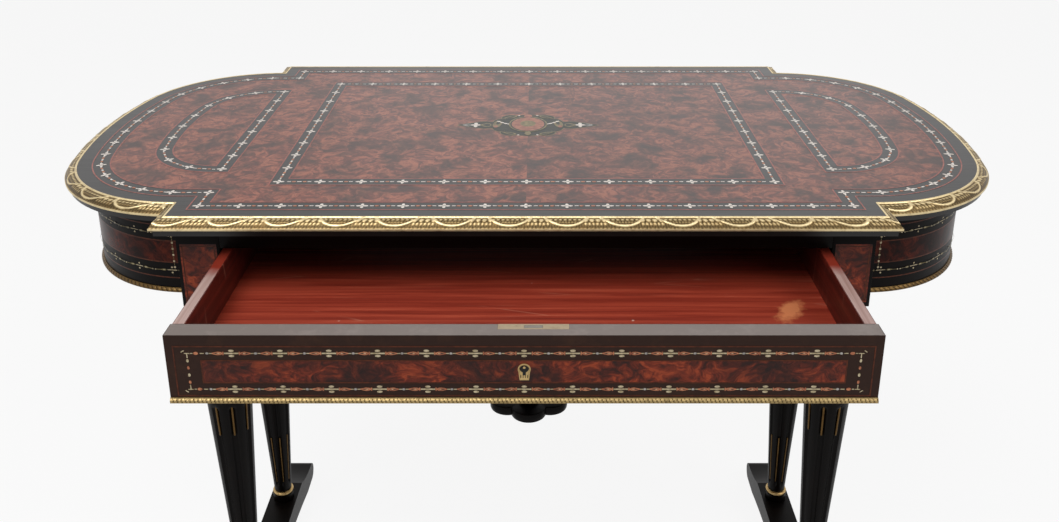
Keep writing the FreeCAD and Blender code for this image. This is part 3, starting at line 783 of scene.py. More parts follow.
@dataclass(frozen=True)
class Run:
    """Stretches of a line in plan between two corners, with the mitre at each end.

    A mitre of 1 is an outer corner, -1 an inner one and 0 a square end.
    """

    stretches: tuple[Straight | Turn, ...]
    mitre_start: float = 0.0
    mitre_end: float = 0.0

    @property
    def length(self) -> float:
        """Length of the line itself."""
        return sum(part.length for part in self.stretches)

    def at(self, s: float) -> Quad:
        """Point and direction at a distance along the line.

        Args:
            s: Distance from the start.

        Returns:
            x, y and the direction's x and y.
        """
        for part in self.stretches:
            if s <= part.length or part is self.stretches[-1]:
                return part.at(s)
            s -= part.length
        return self.stretches[-1].at(s)

    def beside(self, share: float, out: float) -> Quad:
        """Point beside the line, its ends cut to the mitres.

        Args:
            share: 0 at the start and 1 at the end.
            out: Distance to the outer side, negative towards the inside.

        Returns:
            x, y and the outward direction's x and y.
        """
        start = -out * self.mitre_start
        span = self.length + out * (self.mitre_start + self.mitre_end)
        x, y, dx, dy = self.at(start + span * share)
        return x + dy * out, y - dx * out, dy, -dx

    def turned(self) -> "Run":
        """The same line turned half a circle about the table's middle."""
        return Run(tuple(part.turned() for part in self.stretches), self.mitre_start, self.mitre_end)

    def frame(self, share: float, out: float, z: float, upright: bool = False) -> Matrix:
        """Frame beside the line: X along it, and Y inwards on a level surface or up on a wall.

        Args:
            share: Place along it, from 0 to 1.
            out: Distance outwards.
            z: Height.
            upright: True on a wall, whose frame has its Z outwards.

        Returns:
            The frame.
        """
        x, y, nx, ny = self.beside(share, out)
        second = Vector((0.0, 0.0, 1.0)) if upright else Vector((-nx, -ny, 0.0))
        return frame_at(Vector((-ny, nx, 0.0)), second, Vector((x, y, z)))


def frame_at(x_axis: Vector, y_axis: Vector, origin: Vector) -> Matrix:
    """Frame from two directions and an origin, as a matrix."""
    z_axis = x_axis.cross(y_axis)
    return Matrix.Translation(origin) @ Matrix((x_axis, y_axis, z_axis)).transposed().to_4x4()


def line(start: Pair, end: Pair, mitre_start: float = 0.0, mitre_end: float = 0.0) -> Run:
    """Straight run between two points, with the mitre at each of them."""
    return Run((Straight(start, end),), mitre_start, mitre_end)


def end_run(
    reach: float, half_depth: float, corner_r: float, bow_r: float, from_x: float, mitre: float
) -> Run:
    """D-shaped end on the +X side, front to back, anticlockwise.

    Args:
        reach: Furthest x.
        half_depth: Half of its depth.
        corner_r: Radius of the corners.
        bow_r: Radius of the shallow bow between them.
        from_x: Where the straight sides start.
        mitre: Mitre at both of its ends.

    Returns:
        The run.
    """
    bow_x = reach - bow_r
    corner_y = half_depth - corner_r
    corner_x = bow_x + math.sqrt((bow_r - corner_r) ** 2 - corner_y**2)
    turn = math.atan2(corner_y, corner_x - bow_x)
    stretches = (
        Straight((from_x, -half_depth), (corner_x, -half_depth)),
        Turn((corner_x, -corner_y), corner_r, -QUARTER, QUARTER - turn),
        Turn((bow_x, 0.0), bow_r, -turn, 2.0 * turn),
        Turn((corner_x, corner_y), corner_r, turn, QUARTER - turn),
        Straight((corner_x, half_depth), (from_x, half_depth)),
    )
    return Run(stretches, mitre, mitre)


def steps(length: float, step: float) -> int:
    """Number of equal steps of about a given size in a length."""
    return max(1, round(length / step))


# Surfaces and inlay


@dataclass
class Surface:
    """Mesh made of grids that are laid over a shape, each point placed by a function."""

    bm: BMesh = field(default_factory=bmesh.new)

    def lay(
        self, columns: int, rows: int, place: Place, slot: int = 0, relief: Height | None = None
    ) -> None:
        """Lay one grid.

        Args:
            columns: Faces along the first share.
            rows: Faces along the second share.
            place: Two shares from 0 to 1 to a point in millimetres about the table's middle.
            slot: Material slot of its faces.
            relief: The same shares to a height share that is kept as an attribute, 0 in the hollows.
        """
        floats = self.bm.verts.layers.float
        layer = (floats.get("relief") or floats.new("relief")) if relief else None
        points = bmesh.ops.create_grid(self.bm, x_segments=columns, y_segments=rows, size=0.5)["verts"]
        for point in points:
            along, across = point.co.x + 0.5, point.co.y + 0.5
            if relief:
                point[layer] = relief(along, across)
            point.co = place(along, across)
        if slot:
            for face in {f for v in points for f in v.link_faces}:
                face.material_index = slot

    def band(self, run: Run, start: Pair, end: Pair, slot: int, step: float) -> None:
        """Lay a flat band along a line in plan, level from the outside in or upright from the bottom up.

        Args:
            run: The line.
            start: Distance outwards and height of its first side.
            end: The same of its other side.
            slot: Material slot.
            step: Length of one face.
        """
        (out, low), (far, high) = start, end

        def place(along: float, across: float) -> Vector:
            """Point of the band."""
            x, y, _, _ = run.beside(along, out + (far - out) * across)
            return Vector((x, y, low + (high - low) * across))

        self.lay(steps(run.length, step), 1, place, slot)

    def turn(self, x: float, y: float, profile: list[Ring], columns: int = 48) -> None:
        """Lay a turned surface through radius and height pairs, from bottom to top.

        Args:
            x: Place of the axis.
            y: Place of the axis.
            profile: Radius, or a function from angle to radius, and height.
            columns: Faces round the axis.
        """
        last = len(profile) - 1

        def place(along: float, across: float) -> Vector:
            """Point of the surface.

            Args:
                along: Share of the full turn.
                across: Share of the profile's points.

            Returns:
                The point.
            """
            radius, z = profile[round(across * last)]
            angle = along * math.tau
            if callable(radius):
                radius = radius(angle)
            return Vector((x + radius * math.cos(angle), y + radius * math.sin(angle), z))

        self.lay(columns, last, place)

    def weld(self, dist: float) -> None:
        """Merge the points that lie within a distance."""
        bmesh.ops.remove_doubles(self.bm, verts=self.bm.verts, dist=dist)

    def close(self, sharp_degrees: float, fill: bool = False) -> None:
        """Merge seams and poles, turn the faces outwards and shade them.

        Args:
            sharp_degrees: Smallest turn that stays a hard edge.
            fill: True to close open ends with one face each.
        """
        self.weld(0.01)
        if fill:
            bmesh.ops.holes_fill(self.bm, edges=self.bm.edges, sides=0)
        bmesh.ops.recalc_face_normals(self.bm, faces=self.bm.faces)
        shade(self.bm, sharp_degrees)

    def finish(self, name: str, finishes: list[str], body: str, slot: str, *stands_for: str) -> None:
        """Turn the surface into a piece, in place of the CAD nodes that it stands for."""
        to_shared(self.bm)
        finish_piece(name, self.bm, finishes, body, slot, stands_for)


@dataclass
class Inlay:
    """Small flat bits let into a surface, drawn in a frame whose Z leaves the surface.

    Bits of one figure overlap, so each lies a trace higher than the last.
    """

    place: Matrix = field(default_factory=Matrix)
    sides: int = 10
    lift: float = 0.006
    bm: BMesh = field(default_factory=bmesh.new)
    bits: int = 0
    tones: list[Tone] = field(default_factory=list)

    def start(self, place: Matrix) -> None:
        """Start a new figure in a frame: its first bit lies lowest."""
        self.place = place
        self.bits = 0

    def add(self, shape: Matrix, tone: Tone, sides: int, point: float = 0.0) -> None:
        """Add one bit.

        Args:
            shape: Place, turn and size of the bit in the figure's frame.
            tone: Its finish.
            sides: Number of its sides.
            point: How far one end is drawn out to a point, as a share of its half length.
        """
        if tone not in self.tones:
            self.tones.append(tone)
        points = bmesh.ops.create_circle(self.bm, cap_ends=True, segments=sides, radius=1.0)["verts"]
        if point:
            for v in points:
                v.co.x += point * max(0.0, v.co.x) ** 3
                v.co.y *= 1.0 - 0.35 * max(0.0, v.co.x)
        lifted = Matrix.Translation((0.0, 0.0, self.lift * self.bits)) @ shape
        self.bits += 1
        bmesh.ops.transform(self.bm, matrix=self.place @ lifted, verts=points)
        for face in {f for v in points for f in v.link_faces}:
            face.normal_update()
            if face.normal.dot(self.place.col[2].to_3d()) < 0.0:
                face.normal_flip()
            face.material_index = self.tones.index(tone)

    def oval(self, u: float, v: float, half_u: float, half_v: float, tone: Tone, turn: float = 0.0) -> None:
        """Add an oval of two half sizes about a point of the surface."""
        self.add(set_out(u, v, half_u, half_v, turn), tone, self.sides)

    def leaf(self, u: float, v: float, half_u: float, half_v: float, tone: Tone, turn: float = 0.0) -> None:
        """Add a leaf that points along its turned first direction."""
        self.add(set_out(u, v, half_u, half_v, turn), tone, self.sides, 0.5)

    def bar(self, u: float, v: float, half_u: float, half_v: float, tone: Tone, turn: float = 0.0) -> None:
        """Add a straight bar about a point of the surface."""
        self.add(set_out(u, v, half_u * ROOT_TWO, half_v * ROOT_TWO, turn) @ SQUARE, tone, 4)

    def finish(self, name: str, body: str, slot: str = "inlay") -> None:
        """Turn the bits into a piece, with one material for each tone used."""
        to_shared(self.bm)
        finish_piece(name, self.bm, [tone.value for tone in self.tones], body, slot, ())


def set_out(u: float, v: float, half_u: float, half_v: float, turn: float) -> Matrix:
    """Place, turn and size of a bit in its figure's frame."""
    size = Matrix.Diagonal((half_u, half_v, 1.0, 1.0))
    return Matrix.Translation((u, v, 0.0)) @ Matrix.Rotation(turn, 4, "Z") @ size


def rounded(share: float) -> float:
    """Height of a round-backed bump at a share of its half width, 0 outside it."""
    return math.sqrt(1.0 - share * share) if share < 1.0 else 0.0


@dataclass(frozen=True)
class Levels:
    """How far each layer of flat work stands off the wood, in millimetres, to keep them apart."""

    band: float = 0.1
    panel: float = 0.16
    string: float = 0.18
    thread: float = 0.2
    bit: float = 0.24
    upper: float = 0.3


LEVELS = Levels()


@dataclass
class Chain:
    """Links of the inlaid chains, all drawn with one inlay."""

    inlay: Inlay
    pitch: float = 47.0
    narrow: float = 0.72

    def cross(self, place: Matrix) -> None:
        """Put the four-lobed cross of the top's chain in a frame at its middle.

        Args:
            place: The frame.
        """
        self.inlay.start(place)
        for turn in range(4):
            angle = turn * QUARTER
            reach = 3.9 if turn % 2 == 0 else 3.3
            self.inlay.oval(reach * math.cos(angle), reach * math.sin(angle), 3.1, 1.9, Tone.BONE, angle)
        self.inlay.oval(0.0, 0.0, 1.6, 1.6, Tone.SHELL)

    def between(self, place: Matrix) -> None:
        """Put what joins two crosses of the top's chain: a dash, beads and thin bars.

        Args:
            place: Frame halfway between two crosses.
        """
        self.inlay.start(place)
        self.inlay.bar(0.0, 0.0, 2.6, 1.1, Tone.BONE)
        for side in SIDES:
            self.inlay.oval(side * 6.6, 0.0, 2.5, 1.7, Tone.COPPER)
            self.inlay.bar(side * 12.2, 0.0, 2.2, 0.9, Tone.BONE)

    def fine(self, place: Matrix) -> None:
        """Put one link of the friezes' fine chain: a thin line with dots and beads.

        Args:
            place: Frame at its middle.
        """
        put = self.inlay
        put.start(place)
        put.bar(0.0, 0.0, 6.0, 0.45, Tone.IVORY)
        put.oval(0.0, 3.4, 1.2, 1.1, Tone.IVORY)
        put.oval(0.0, -3.4, 1.2, 1.1, Tone.IVORY)
        for side in SIDES:
            out = 0.0 if side > 0.0 else math.pi
            put.leaf(side * 10.6, 0.0, 3.2, 1.3, Tone.BRASS, out)
            put.oval(side * 10.2, 0.0, 1.2, 0.6, Tone.IVORY)
            put.bar(side * 17.2, 0.0, 2.4, 0.35, Tone.BRASS)
            put.oval(side * 21.0, 0.0, 1.0, 0.8, Tone.IVORY)

    def leafy(self, place: Matrix) -> None:
        """Put one link of the drawer's chain: a bar with dots, leaves, beads and a dash.

        Args:
            place: Frame at its middle.
        """
        put = self.inlay
        small = self.narrow
        put.start(place)
        put.bar(0.0, 0.0, 7.0, 0.8, Tone.IVORY)
        put.oval(0.0, 4.0 * small, 2.8, 1.8 * small, Tone.IVORY)
        put.oval(0.0, -4.0 * small, 2.8, 1.8 * small, Tone.IVORY)
        for side in SIDES:
            out = 0.0 if side > 0.0 else math.pi
            put.bar(side * 8.0, 0.0, 0.6, 2.6 * small, Tone.COPPER)
            put.leaf(side * 13.2, 0.0, 4.8, 2.7 * small, Tone.COPPER, out)
            put.leaf(side * 13.0, 0.0, 3.0, 1.3 * small, Tone.GREEN, out)
            put.oval(side * 12.4, 0.0, 1.9, 1.0 * small, Tone.COPPER)
            put.oval(side * 12.4, 0.0, 0.8, 0.7 * small, Tone.IVORY)
            put.bar(side * 20.4, 0.0, 1.4, 0.5, Tone.IVORY)
        put.oval(self.pitch / 2.0, 0.0, 1.5, 1.3, Tone.SHELL)


# The top


@dataclass
class Top:
    """Veneered top: black border with a chain, three burr fields and a cartouche."""

    half_length: float = 400.0
    half_depth: float = 306.0
    end_reach: float = 582.0
    end_half_depth: float = 267.0
    corner_r: float = 170.0
    bow_r: float = 665.0
    surface_z: float = 759.2
    border_width: float = 39.0
    border_string: float = 18.0
    border_chain: float = 28.5
    string_width: float = 1.6
    field_half: Pair = (308.0, 215.0)
    field_band: float = 20.0
    field_pitch: float = 48.0
    end_from_x: float = 368.0
    end_string_half: float = 174.0
    end_string_reach: float = 492.0
    end_string_corner: float = 100.0
    end_string_bow: float = 600.0
    end_band: float = 21.0
    cartouche_y: float = 5.0

    def outer_runs(self) -> tuple[Run, ...]:
        """Inner line of the metal edge, anticlockwise from the front left corner.

        Returns:
            The eight runs.
        """
        x, y, e = self.half_length, self.half_depth, self.end_half_depth
        right = end_run(self.end_reach, e, self.corner_r, self.bow_r, x, -1.0)
        half_way = (
            line((-x, -y), (x, -y), 1.0, 1.0),
            line((x, -y), (x, -e), 1.0, -1.0),
            right,
            line((x, e), (x, y), -1.0, 1.0),
        )
        return half_way + tuple(run.turned() for run in half_way)

    def field_runs(self) -> tuple[Run, ...]:
        """Sides of the rectangle in the middle field, anticlockwise.

        Returns:
            The four runs.
        """
        x, y = self.field_half
        corners = ((-x, -y), (x, -y), (x, y), (-x, y))
        return tuple(line(corners[i], corners[(i + 1) % 4], 1.0, 1.0) for i in range(4))

    def end_runs(self) -> tuple[Run, ...]:
        """Lines of the panels in both ends: each a D and the straight side that closes it.

        Returns:
            The four runs, the right end's first.
        """
        x, half = self.end_from_x, self.end_string_half
        bow = end_run(self.end_string_reach, half, self.end_string_corner, self.end_string_bow, x, 1.0)
        panel = (bow, line((x, half), (x, -half), 1.0, 1.0))
        return panel + tuple(run.turned() for run in panel)

    def build_strings(self) -> None:
        """Lay the black bands and the red strings of the top."""
        work = Surface()
        z, string_z = self.surface_z + LEVELS.band, self.surface_z + LEVELS.string
        half = self.string_width / 2.0

        def string(run: Run, out: float) -> None:
            """Lay one string beside a line."""
            work.band(run, (out + half, string_z), (out - half, string_z), 1, 8.0)

        for run in self.outer_runs():
            string(run, -self.border_string)
            string(run, -self.border_width)
        middle, ends = self.field_runs(), self.end_runs()
        for runs, band, step in ((middle, self.field_band, 12.0), (ends, self.end_band, 8.0)):
            for run in runs:
                work.band(run, (0.0, z), (-band, z), 0, step)
                string(run, 0.0)
                string(run, -band)
        work.finish("top_strings", ["ebonised", "red_string"], TABLE, "inlay")

    def build_chain(self) -> None:
        """Let the chain's links into the border and the bands."""
        inlay = Inlay()
        chain = Chain(inlay)
        z = self.surface_z + LEVELS.bit
        for runs, out, pitch in (
            (self.outer_runs(), -self.border_chain, chain.pitch),
            (self.field_runs(), -self.field_band / 2.0, self.field_pitch),
            (self.end_runs(), -self.end_band / 2.0, chain.pitch),
        ):
            for run in runs:
                count = steps(run.length + out * (run.mitre_start + run.mitre_end), pitch)
                for i in range(count):
                    chain.cross(run.frame(i / count, out, z))
                    chain.between(run.frame((i + 0.5) / count, out, z))
        inlay.finish("top_chain", TABLE)

    def build_cartouche(self) -> None:
        """Draw the cartouche: lobes, scrolls, pointed arms with flowers and a middle oval."""
        origin = Vector((0.0, self.cartouche_y, self.surface_z + 0.03))
        place = frame_at(Vector((1.0, 0.0, 0.0)), Vector((0.0, 1.0, 0.0)), origin)
        put = Inlay(place, sides=24, lift=0.004)
        for tone, grow in ((Tone.BRASS, 1.2), (Tone.GREEN, 0.0)):
            put.oval(0.0, 0.0, 38.0 + grow, 45.0 + grow, tone)
            for side in SIDES:
                put.oval(side * 38.0, 0.0, 13.0 + grow, 27.0 + grow, tone)
                put.oval(side * 26.0, 34.0, 12.0 + grow, 9.0 + grow, tone, -side * 0.5)
                put.oval(side * 26.0, -34.0, 12.0 + grow, 9.0 + grow, tone, side * 0.5)
                put.leaf(side * 62.0, 0.0, 24.0 + grow, 15.0 + grow, tone, 0.0 if side > 0.0 else math.pi)
        for side in SIDES:
            self.cartouche_arm(put, side)
        for v, half_u, half_v, tone in (
            (4.0, 27.0, 33.0, Tone.BRASS),
            (4.0, 25.0, 30.5, Tone.GREEN),
            (4.0, 23.0, 28.5, Tone.PINK),
            (6.0, 11.0, 13.0, Tone.BRASS),
            (39.0, 6.0, 7.0, Tone.PINK),
            (-35.0, 4.5, 7.5, Tone.BRASS),
        ):
            put.oval(0.0, v, half_u, half_v, tone)
        put.finish("cartouche_inlay", TABLE)

    def cartouche_arm(self, put: Inlay, side: float) -> None:
        """Draw one side of the cartouche: scroll, leaves, dots and the flower in its arm.

        Args:
            put: Inlay to add to.
            side: 1 for the right and -1 for the left.
        """
        out = 0.0 if side > 0.0 else math.pi
        put.oval(side * 43.0, 4.0, 6.0, 15.0, Tone.BRASS, side * 0.15)
        put.oval(side * 42.0, 8.0, 2.6, 6.5, Tone.GREEN, side * 0.15)
        put.oval(side * 45.0, -6.0, 3.0, 4.5, Tone.PINK)
        for reach, half_u, half_v, tone in (
            (58.0, 7.0, 8.0, Tone.BRASS),
            (57.0, 4.5, 5.5, Tone.GREEN),
            (84.0, 5.0, 5.0, Tone.SHELL),
            (83.0, 3.5, 3.0, Tone.GREEN),
        ):
            put.leaf(side * reach, 0.0, half_u, half_v, tone, out)
        for way in SIDES:
            lean = -side * way * 0.5 + out
            put.leaf(side * 24.0, way * 35.0, 9.0, 4.5, Tone.BRASS, lean)
            put.leaf(side * 24.0, way * 35.0, 6.0, 2.4, Tone.GREEN, lean)
            put.oval(side * 13.0, way * 41.5, 1.6, 1.8, Tone.BONE)
        for i in range(4):
            share = (i + 0.5) / 4.0
            put.oval(side * (24.0 + 20.0 * share), 3.0 + 15.0 * share**1.5, 3.2, 1.8, Tone.BONE, side * 0.6)
        for turn in range(4):
            angle = turn * QUARTER
            u, v = side * 73.0 + 3.2 * math.cos(angle), 5.5 * math.sin(angle)
            put.oval(u, v, 3.4 if turn % 2 == 0 else 4.2, 2.6, Tone.BONE, angle)

    def build(self) -> None:
        """Dress the top."""
        dress("ebonised", "top_board", "border_banding")
        burr = ("centre_veneer", "left_end_veneer", "right_end_veneer", "cartouche")
        dress("top_burr", *burr)
        self.build_strings()
        self.build_chain()
        self.build_cartouche()


# Brass edge and mouldings


@dataclass(frozen=True)
class Boss:
    """Row of equal round-backed bumps in the stamped work."""

    pitch: float
    half_along: float
    half_across: float
    at: float
    height: float

    def rise(self, along: float, across: float) -> float:
        """Height at a place along the row and across it."""
        off = (along % self.pitch - self.pitch / 2.0) / self.half_along
        return self.height * rounded(math.hypot(off, (across - self.at) / self.half_across))


@dataclass
class GiltEdge:
    """Stamped brass edge of the top: bead, groove and a sloping band with swags, pods and a beaded lip."""

    top: Top
    width: float = 15.0
    height: float = 12.0
    top_z: float = 760.0
    step: float = 0.95
    rows: int = 20
    slope_degrees: float = 35.0
    relief_height: float = 0.8
    flat_share: float = 0.85
    foot: float = 0.4
    band_points: int = 8
    keep_in: float = 0.08
    ripple_pitch: float = 2.9
    ripple_level: float = 0.1
    ripple_height: float = 0.06
    swag_pitch: float = 61.5
    swag_phase: float = 0.28
    swag_half: float = 22.0
    swag_drop: float = 10.4
    swag_power: float = 2.4
    swag_rim: float = 0.4
    cord: float = 1.35
    cord_height: float = 1.1
    within_swag: tuple[Boss, ...] = (Boss(5.2, 2.2, 1.8, 2.6, 0.85), Boss(3.4, 1.4, 1.2, 6.2, 0.5))
    between_swags: tuple[Boss, ...] = (Boss(6.7, 3.0, 2.8, 3.2, 1.0), Boss(4.2, 1.5, 2.4, 8.4, 0.6))
    lip_beads: Boss = Boss(4.2, 1.7, 1.1, 1.0, 0.32)
    profile: tuple[Pair, ...] = (
        (1.0, 1.0), (1.0, 0.82), (0.95, 0.74), (0.87, 0.56), (0.76, 0.4), (0.64, 0.285),
        (0.5, 0.21), (0.36, 0.165), (0.22, 0.14), (0.15, 0.066), (0.115, 0.02), (0.075, 0.0),
        (0.03, 0.025), (0.0, 0.066),
    )

    @cached_property
    def points(self) -> list[Pair]:
        """Distance outwards and height of the section's points, from the foot to the bead."""
        return [(out * self.width, self.top_z - down * self.height) for out, down in self.profile]

    @cached_property
    def lengths(self) -> list[float]:
        """Lengths of the section's stretches."""
        return [math.dist(a, b) for a, b in zip(self.points, self.points[1:])]

    @cached_property
    def band(self) -> Pair:
        """Where the worked band starts and ends along the section, from the foot."""
        return sum(self.lengths[:1]) + self.foot, sum(self.lengths[: self.band_points])

    def section(self, share: float) -> Triple:
        """Point of the section.

        Args:
            share: 0 at the outer foot and 1 at the inner side of the bead.

        Returns:
            Distance outwards, height and distance along the section, in millimetres.
        """
        goal = share * sum(self.lengths)
        gone = 0.0
        for a, b, length in zip(self.points, self.points[1:], self.lengths):
            if gone + length >= goal or b is self.points[-1]:
                t = min(1.0, (goal - gone) / length)
                return a[0] + (b[0] - a[0]) * t, a[1] + (b[1] - a[1]) * t, goal
            gone += length
        return *self.points[-1], goal

    def relief(self, s: float, w: float, pitch: float) -> float:
        """Height of the stamped work: the highest of ripple, cord, bumps and beads.

        Args:
            s: Distance along the edge.
            w: Distance along the section from the foot.
            pitch: Pitch of the swags.

        Returns:
            Height share from 0 to 1.
        """
        low, high = self.band
        if w <= low - self.foot or w > high:
            return self.flat_share
        down = high - w
        s += self.swag_phase * pitch
        heights = [self.ripple_level + self.ripple_height * math.cos(s * math.tau / self.ripple_pitch)]
        centred = (s % pitch) - pitch / 2.0
        share = abs(centred) / self.swag_half
        power, drop = self.swag_power, self.swag_drop
        if share < 1.1:
            bottom = self.swag_rim + drop * max(0.0, 1.0 - share**power)
            slope = drop * power * share ** (power - 1.0) / self.swag_half
            away = abs(down - bottom) / math.hypot(1.0, slope)
            heights.append(self.cord_height * rounded(away / self.cord))
        if share < 0.9 and down < drop * (1.0 - share**power) - self.cord:
            heights += [boss.rise(s, down) for boss in self.within_swag]
        far = pitch / 2.0 - abs(centred)
        if far < pitch / 2.0 - self.swag_half * 0.8:
            heights += [boss.rise(far, down) for boss in self.between_swags]
        heights.append(self.lip_beads.rise(s, w - low))
        return max(heights)

    def lay(self, surface: Surface, run: Run) -> None:
        """Lay one run of the edge.

        Args:
            surface: Surface to add to.
            run: The line that the edge follows.
        """
        pitch = run.length / steps(run.length, self.swag_pitch)
        table = [self.section(i / self.rows) for i in range(self.rows + 1)]
        low, high = self.band
        slope = math.radians(self.slope_degrees)

        def height(along: float, across: float) -> float:
            """Height share at two shares."""
            return self.relief(along * run.length, table[round(across * self.rows)][2], pitch)

        def place(along: float, across: float) -> Vector:
            """Point at two shares, sunk below the section where the work is low.

            Args:
                along: Share along it, from 0 to 1.
                across: Share across it, from 0 to 1.

            Returns:
                The point.
            """
            out, z, w = table[round(across * self.rows)]
            sunk = self.relief_height * (self.flat_share - height(along, across)) if low < w <= high else 0.0
            x, y, _, _ = run.beside(along, out - self.keep_in - sunk * math.sin(slope))
            return Vector((x, y, z - sunk * math.cos(slope)))

        surface.lay(steps(run.length, self.step), self.rows, place, relief=height)

    def build(self) -> None:
        """Build the four mitred lengths, each in place of its node."""
        runs = self.top.outer_runs()
        for name, parts in (
            ("front_edge", (runs[7], runs[0], runs[1])),
            ("right_edge", (runs[2],)),
            ("back_edge", (runs[3], runs[4], runs[5])),
            ("left_edge", (runs[6],)),
        ):
            surface = Surface()
            for run in parts:
                self.lay(surface, run)
            surface.weld(0.02)
            shade(surface.bm, 60.0)
            surface.finish(name, ["gilt_relief"], TABLE, "gilt", name + "_moulding")


@dataclass
class BaseMoulding:
    """Small brass moulding with slanting flutes along the foot of the case and of the drawer."""

    finish: str
    low: float = 636.0
    height: float = 5.0
    out: float = 3.5
    flute_pitch: float = 6.4
    flute_depth: float = 0.7
    flute_rows: tuple[int, int] = (2, 6)
    step: float = 1.1
    profile: tuple[Pair, ...] = (
        (0.0, 0.0), (0.9, 0.0), (1.0, 0.12), (1.0, 0.3), (0.94, 0.5), (0.74, 0.7), (0.44, 0.84),
        (0.4, 0.9), (0.3, 1.0), (0.0, 1.0),
    )

    def build(self, name: str, run: Run, body: str) -> None:
        """Build the moulding along the face of the wood, in place of its node.

        Args:
            name: Name of the piece, which the node's name starts with.
            run: The face in plan.
            body: Body that carries it.
        """
        surface = Surface()
        last = len(self.profile) - 1
        first_row, last_row = self.flute_rows

        def height(along: float, across: float) -> float:
            """Height share at two shares: round-backed ribs that slant across the worked rows.

            Args:
                along: Share along it, from 0 to 1.
                across: Share across it, from 0 to 1.

            Returns:
                The height share.
            """
            row = round(across * last)
            if not first_row <= row <= last_row:
                return 0.9
            slant = (row - first_row) / (last_row - first_row) * self.flute_pitch * 0.5
            s = (along * run.length + slant) % self.flute_pitch / self.flute_pitch
            return 0.15 + 0.85 * rounded(abs(s - 0.5) * 2.2)

        def place(along: float, across: float) -> Vector:
            """Point at two shares, sunk between the ribs.

            Args:
                along: Share along it, from 0 to 1.
                across: Share across it, from 0 to 1.

            Returns:
                The point.
            """
            row = round(across * last)
            share, lift = self.profile[row]
            worked = first_row <= row <= last_row
            sunk = self.flute_depth * (1.0 - height(along, across)) if worked else 0.0
            x, y, _, _ = run.beside(along, share * self.out - sunk)
            return Vector((x, y, self.low + lift * self.height))

        surface.lay(steps(run.length, self.step), last, place, relief=height)
        surface.weld(0.02)
        shade(surface.bm, 50.0)
        surface.finish(name, [self.finish], body, "gilt", name + "_moulding")


# The case


